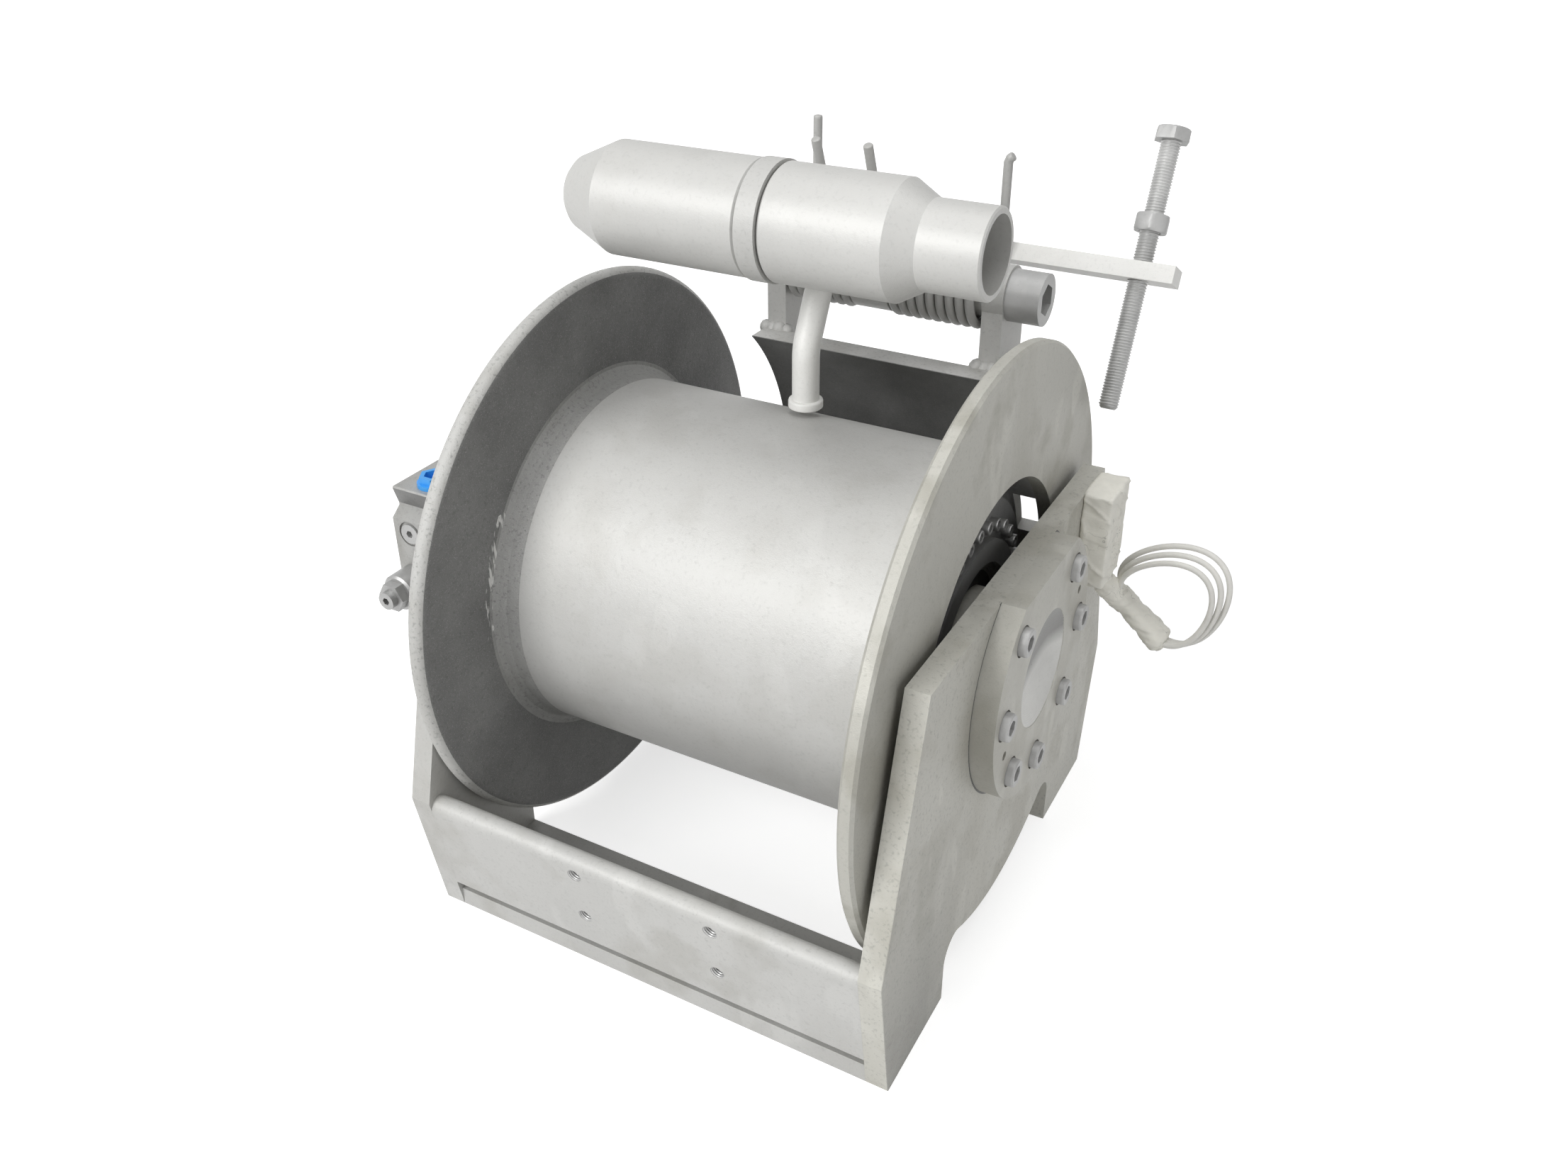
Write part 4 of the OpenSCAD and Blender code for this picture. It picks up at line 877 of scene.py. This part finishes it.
def cable_wrap():
    """Tape round the cable: a thin neck from the switch that widens to a flat wrap over the hank's loops."""
    tie = (HANK_START - 180) / 360
    u = hank_uv(tie)[0] + 0.0021
    across_x, across_z = sin(HANK_LEAN), cos(HANK_LEAN)
    centre = HANK + Vector((u * across_x, (1.5 + tie) * HANK_STEP, u * across_z))
    along = Vector((across_z, 0, -across_x))
    route = smooth_path([(0.1822, 0.1305, 0.2085), (0.1832, 0.132, 0.2015), (0.1885, 0.138, 0.1905),
                         centre - along * 0.019, centre, centre + along * 0.0185, centre + along * 0.025], 16)
    sides, verts = 56, []
    for i, spot in enumerate(route):
        t = i / (len(route) - 1)
        ahead = (route[min(i + 1, len(route) - 1)] - route[max(i - 1, 0)]).normalized()
        deep = (Vector((0, 1, 0)) - ahead * ahead.y).normalized()
        across = deep.cross(ahead)
        grow = min(1.0, max(0.0, (t - 0.08) / 0.42))
        grow = grow * grow * (3 - 2 * grow)
        end = 0.0036 * max(0.0, (t - 0.86) / 0.14) ** 2
        swell = 0.0011 * exp(-((t - 0.8) / 0.09) ** 2)
        tuck = 0.0012 if i == 0 else end - swell
        for k in range(sides):
            b = 2 * pi * k / sides
            step = 0.0006 * ((t * 5.5 + k / sides * 0.9) % 1.0 < 0.5)
            crease = 0.0005 * sin(5 * b + 40 * t) * sin(31 * t + 3 * b)
            crease += 0.0009 * (1 - abs(sin(26 * t + 2.2 * b))) ** 6
            more = step + crease - tuck
            wide, thick = 0.0056 + 0.0002 * grow + more, 0.0064 + 0.0049 * grow + more
            ce, se = cos(b), sin(b)
            boxy = (abs(ce) ** 2.8 + abs(se) ** 2.8) ** (-1 / 2.8)
            verts.append(spot + across * (wide * boxy * ce) + deep * (thick * boxy * se))
    return verts, skin(len(route), sides)


class WINCH_OT_cable(bpy.types.Operator):
    """Lays the switch cable with its lead and its hank"""

    bl_idname = "winch.cable"
    bl_label = "Switch cable"

    def execute(self, context):
        s = context.scene.winch_sizes
        points = [(0.182, 0.130, 0.208), (0.182, 0.130, 0.2035),
                  (0.183, 0.1325, 0.197), (0.186, 0.1365, 0.191)]
        points += [hank_point(i / HANK_POINTS) for i in range(HANK_POINTS * 3 + 5)]
        path = smooth_path(points, 3)
        piece = mesh_piece("switch_lead", *swept(path, s.cable / 2, 12), FINISH["sheath"])
        place(piece, "frame", "cable", "switch_cable")
        return {"FINISHED"}


def hank_uv(turns):
    """Place on the hank's flat loops after some turns. They widen away from the tie."""
    a = radians(HANK_START - 360 * turns)
    widen = 0.88 + 0.085 * turns
    u = HANK_R * (cos(a) + 0.3 * cos(a) ** 2)
    return widen * (u + HANK_TIE) - HANK_TIE, widen * HANK_R * sin(a)


def hank_point(turns):
    u, v = hank_uv(turns)
    ce, se = cos(HANK_LEAN), sin(HANK_LEAN)
    return HANK + Vector((u * se + v * ce, turns * HANK_STEP, u * ce - v * se))


class WINCH_OT_springs(bpy.types.Operator):
    """Winds both torsion springs with their legs"""

    bl_idname = "winch.springs"
    bl_label = "Torsion springs"

    def execute(self, context):
        s = context.scene.winch_sizes
        wire, gap, lean, points_a_turn = s.wire, 0.0006, radians(22), 40
        outer = LUG_INNER - gap - wire / 2
        start = pi + lean
        # Side, inner end of the coil, turns, top of the outer leg above the pivot, and the hook at that top
        for side, inner, turns, top, hook in ((1, 0.0075, s.turns_right, 0.087, 0.0035),
                                              (-1, 0.023, s.turns_left, 0.099, 0.0)):
            inner += wire / 2
            sweep = 2 * pi * turns + pi - lean
            count = round(sweep / (2 * pi) * points_a_turn)
            path = []
            for leg in (0.124, 0.08, 0.04, 0.008):
                path.append((inner, s.coil * cos(start) - leg * sin(lean),
                             s.coil * sin(start) + leg * cos(lean)))
            for i in range(count + 1):
                a = start + sweep * i / count
                path.append((inner + (outer - inner) * i / count, s.coil * cos(a), s.coil * sin(a)))
            path += [(outer, s.coil, z) for z in (wire, top / 2, top - 2 * wire, top - wire * 0.7)]
            path += [(outer + hook * 0.3, s.coil, top - wire * 0.3), (outer + hook, s.coil, top)]
            path = [PIVOT + Vector((side * x, y, z)) for x, y, z in path]
            hand = "right" if side > 0 else "left"
            piece = mesh_piece("spring_coil_" + hand, *swept(path, wire / 2, 14, dome=0.5), FINISH["spring"])
            place(piece, "frame", "spring_paint", "spring_" + hand)
        return {"FINISHED"}


class WINCH_OT_stop_bolt(bpy.types.Operator):
    """Cuts the stop bolt's thread, its head and its lock nut"""

    bl_idname = "winch.stop_bolt"
    bl_label = "Stop bolt and lock nut"

    def execute(self, context):
        s = context.scene.winch_sizes
        up = Vector((0, sin(TILT), cos(TILT)))
        middle = BAR + Vector((0.165, 0, 0))
        length, below, radius, flats, nut_up, gap = 0.182, 0.094, 0.007, 0.0218, 0.027, 0.001
        rod = linked("thread_seed", bpy.data.meshes.new("thread_seed"))
        run_tree(thread_tree(), rod, {"Radius": radius, "Depth": s.thread_depth, "Pitch": s.thread_pitch,
                                      "Length": length - 2 * gap, "Finish": FINISH["thread"]})
        rod = baked(rod, "stop_bolt_thread", FINISH["thread"])
        rod.data.transform(to_direction(middle + up * (length / 2 - below + gap), up))
        place(rod, "bolt", "steel", "stop_bolt")
        tip = revolved([(0.0048, 0.0), (0.0060, 0.0012), (0.0060, 0.003)], 20)
        head = joined("stop_bolt_head", [
            (*hex_head(flats, 0.00875), to_direction(middle + up * (length - below), up, 0.3)),
            (*tip, to_direction(middle - up * below, up))], FINISH["screw"])
        sharpen(head)
        place(head, "bolt", "steel")
        nut = joined("stop_bolt_nut", [(*hex_head(flats, 0.0119, hole=0.00705, bottom=True),
                                        to_direction(middle + up * nut_up, up, 0.15))], FINISH["screw"])
        sharpen(nut)
        place(nut, "nut", "steel", "lock_nut")
        return {"FINISHED"}


class WINCH_OT_feeler(bpy.types.Operator):
    """Bends the feeler tube and turns its ferrule"""

    bl_idname = "winch.feeler"
    bl_label = "Feeler tube"

    def execute(self, context):
        y, tip, straight, radius = 0.034, 0.1256, 0.034, 0.009
        bend, bend_r, steps = radians(27), 0.030, 12
        path = [(0, y, tip + 0.001), (0, y, tip + straight * 0.5), (0, y, tip + straight - 0.001)]
        for i in range(steps + 1):
            a = bend * i / steps
            path.append((0, y + bend_r * (1 - cos(a)), tip + straight + bend_r * sin(a)))
        away = Vector((0, sin(bend), cos(bend)))
        path += [Vector(path[-1]) + away * d for d in (0.012, 0.025, 0.0395)]
        ferrule = revolved([(0.0062, 0.0004), (0.0105, 0.0), (0.0115, 0.0009), (0.0115, 0.0047),
                            (0.0112, 0.0055), (0.0104, 0.006), (0.0088, 0.006)], 48)
        piece = joined("feeler_pipe", [
            (*swept(path, radius, 40), Matrix.Translation((0, 0, AXIS_H))),
            (*ferrule, Matrix.Translation((0, y, AXIS_H + tip)))], FINISH["pale"])
        sharpen(piece, 40)
        place(piece, "arm", "paint", "feeler_tube")
        return {"FINISHED"}


# Socket screws on circles round the drum's axis, with their heads to the side of +X or -X: name, node, body,
# finish, side, radius of the circle, angles, radius of the screw, and length under the head
EIGHTHS = [45 * i for i in range(3, 10)]
ALL_ROUND = [11.25 * i for i in range(32)]
SCREW_SPIN = 0.35
SCREWS = (
    ("cap_screw_heads", "cap_screws", "frame", "screw", 1, 0.068, EIGHTHS, 0.006, 0.022),
    ("hub_screw_heads", "hub_cover_screws", "drum", "steel", 1, 0.081, ALL_ROUND, 0.003, 0.024),
    ("support_screw_heads", "support_screws", "frame", "screw", -1, 0.081, EIGHTHS, 0.006, 0.026),
)


class WINCH_OT_screws(bpy.types.Operator):
    """Sets the socket screws of the cap, the hub cover and the drive support"""

    bl_idname = "winch.screws"
    bl_label = "Socket screws"

    def execute(self, context):
        for name, node, body, finish, side, circle, angles, radius, length in SCREWS:
            height = radius * 2
            low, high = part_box(node)
            x = high.x - height if side > 0 else low.x + height
            screw = joined("pattern_" + name, [(*socket_head(radius * 1.5, height), Matrix()),
                                               (*shank(radius, length), Matrix())], FINISH[finish])
            sharpen(screw, 30)
            spots = []
            for i, a in enumerate(angles):
                y, z = circle * cos(radians(a)), circle * sin(radians(a))
                spots.append(to_direction((x, y, AXIS_H + z), (side, 0, 0), SCREW_SPIN * i))
            piece = copies_at(name, screw, spots, FINISH[finish])
            sharpen(piece, 30)
            place(piece, body, "steel", node)
        return {"FINISHED"}


class WINCH_OT_taps(bpy.types.Operator):
    """Cuts the threads of the four tapped holes in the front beam"""

    bl_idname = "winch.taps"
    bl_label = "Tapped holes"

    def execute(self, context):
        outer, mouth, crest, height = 0.00497, 0.0049, 0.00418, 0.00065
        pitch, deep, sides = 0.0015, 0.0144, 30
        rows = round(deep / pitch * 6)
        verts = []
        for i in range(rows + 1):
            inside = deep * i / rows
            for k in range(sides):
                a = 2 * pi * k / sides
                wave = abs((inside / pitch + k / sides) % 1.0 - 0.5) * 2
                r = min(mouth, max(crest + height * wave, mouth - inside * 0.8))
                verts.append((r * cos(a), r * sin(a), deep / 2 - inside))
        verts += ring(outer, -deep / 2, sides) + ring(outer, deep / 2, sides)
        faces = skin(rows + 3, sides, ends=False) + join((rows + 2) * sides, 0, sides)
        thread = mesh_piece("pattern_tap", verts, faces, FINISH["thread"])
        spots = [to_direction(m["pos_m"], m["axis"], 0.9 * i) for i, m in enumerate(frame["record"]["mounts"])
                 if m["name"].startswith("beam_hole")]
        place(copies_at("beam_threads", thread, spots, FINISH["thread"]), "frame", "steel")
        return {"FINISHED"}


class WINCH_OT_dish(bpy.types.Operator):
    """Turns the hollow in the bearing cap to a bowl"""

    bl_idname = "winch.dish"
    bl_label = "Cap hollow"

    def execute(self, context):
        face, deep, rim, floor, centre, sides, steps = 0.187, 0.009, 0.0389, 0.0344, 0.0004, 72, 24
        bottom = face - deep + 0.00005
        profile = []
        for i in range(steps + 1):
            r = centre + (rim - centre) * i / steps
            profile.append((r, face - deep + 0.0012 + (deep - 0.0016) * (r / rim) ** 3.2))
        profile += [(rim, face - 0.0002), (floor, bottom), (centre, bottom)]
        verts = revolved(profile, sides)[0]
        faces = skin(len(profile), sides, ends=False) + join(0, (len(profile) - 1) * sides, sides)
        along_x = Matrix.Translation((0, 0, AXIS_H)) @ Matrix.Rotation(pi / 2, 4, "Y")
        bowl = joined("cap_hollow", [(verts, faces, along_x)], FINISH["dish"])
        sharpen(bowl, 40)
        place(bowl, "frame", "paint")
        return {"FINISHED"}


class WINCH_OT_welds(bpy.types.Operator):
    """Lays the weld beads of the lugs, the guard's foot, the stop bar and the feeler"""

    bl_idname = "winch.welds"
    bl_label = "Weld beads"

    def execute(self, context):
        bead = context.scene.winch_sizes.bead
        guard_r, top, step = 0.192, 38.3, 2.2
        lines = []
        for sign, hand in ((-1, "left"), (1, "right")):
            for x in (LUG_INNER, LUG_OUTER):
                angles = [radians(top - step * i) for i in range(10)]
                arc = [(sign * x, guard_r * cos(a), AXIS_H + guard_r * sin(a)) for a in angles]
                lines.append(("lug_weld_%s_%d" % (hand, round(x * 1000)), arc, "frame", bead * 1.25))
            toe = [(sign * x, 0.146, AXIS_H + 0.1275) for x in (0.075, 0.079, 0.083, 0.087, 0.092)]
            lines.append(("lug_toe_weld_" + hand, toe, "frame", bead * 1.9))
        foot = [(x / 1000, 0.1925, 0.1025) for x in range(-90, 91, 12)]
        lines.append(("guard_foot_weld", foot, "frame", bead))
        bar = [(0.0068, 0.1995, 0.4065), (0.0068, 0.2085, 0.4035), (0.0068, 0.2165, 0.3985)]
        lines.append(("bar_weld", bar, "arm", bead * 0.8))
        angles = [2 * pi * i / 16 for i in range(17)]
        round_tube = [(0.0088 * cos(a), 0.0555 + 0.00792 * sin(a), 0.4142 - 0.0040 * sin(a)) for a in angles]
        lines.append(("feeler_weld", round_tube, "arm", bead * 0.7))
        tree = bead_tree()
        first_seed = 11
        for i, (name, line, body, radius) in enumerate(lines):
            mesh = bpy.data.meshes.new(name)
            mesh.from_pydata(line, [(k, k + 1) for k in range(len(line) - 1)], [])
            seam = linked(name, mesh)
            run_tree(tree, seam, {"Radius": radius, "Spacing": radius * 0.75, "Seed": first_seed + i,
                                  "Finish": FINISH["bead"]})
            place(baked(seam, name, FINISH["bead"]), body, "paint")
        return {"FINISHED"}


class WINCH_PT_panel(bpy.types.Panel):
    """Sizes, colours and pieces of the winch"""

    bl_idname = "WINCH_PT_panel"
    bl_label = "Hydraulic Winch"
    bl_space_type = "VIEW_3D"
    bl_region_type = "UI"
    bl_category = "Winch"

    def draw(self, context):
        for group in GROUPS:
            box = self.layout.box()
            settings = getattr(context.scene, group)
            for key in settings.bl_rna.properties.keys():
                if key not in ("rna_type", "name"):
                    box.prop(settings, key)
        for step in STEPS:
            self.layout.operator(step.bl_idname)


STEPS = (WINCH_OT_stage, WINCH_OT_finishes, WINCH_OT_tape, WINCH_OT_cable, WINCH_OT_springs,
         WINCH_OT_stop_bolt, WINCH_OT_feeler, WINCH_OT_screws, WINCH_OT_taps, WINCH_OT_dish, WINCH_OT_welds)
GROUPS = {"winch_sizes": WinchSizes, "winch_finishes": WinchFinishes, "winch_stage": WinchStage}


def register():
    for cls in (*GROUPS.values(), *STEPS, WINCH_PT_panel):
        bpy.utils.register_class(cls)
    for name, group in GROUPS.items():
        setattr(bpy.types.Scene, name, PointerProperty(type=group))


def unregister():
    for name in GROUPS:
        delattr(bpy.types.Scene, name)
    for cls in (WINCH_PT_panel, *reversed(STEPS), *reversed(GROUPS.values())):
        bpy.utils.unregister_class(cls)


def main():
    register()
    for step in STEPS:
        group, name = step.bl_idname.split(".")
        getattr(getattr(bpy.ops, group), name)()


if __name__ == "__main__":
    main()
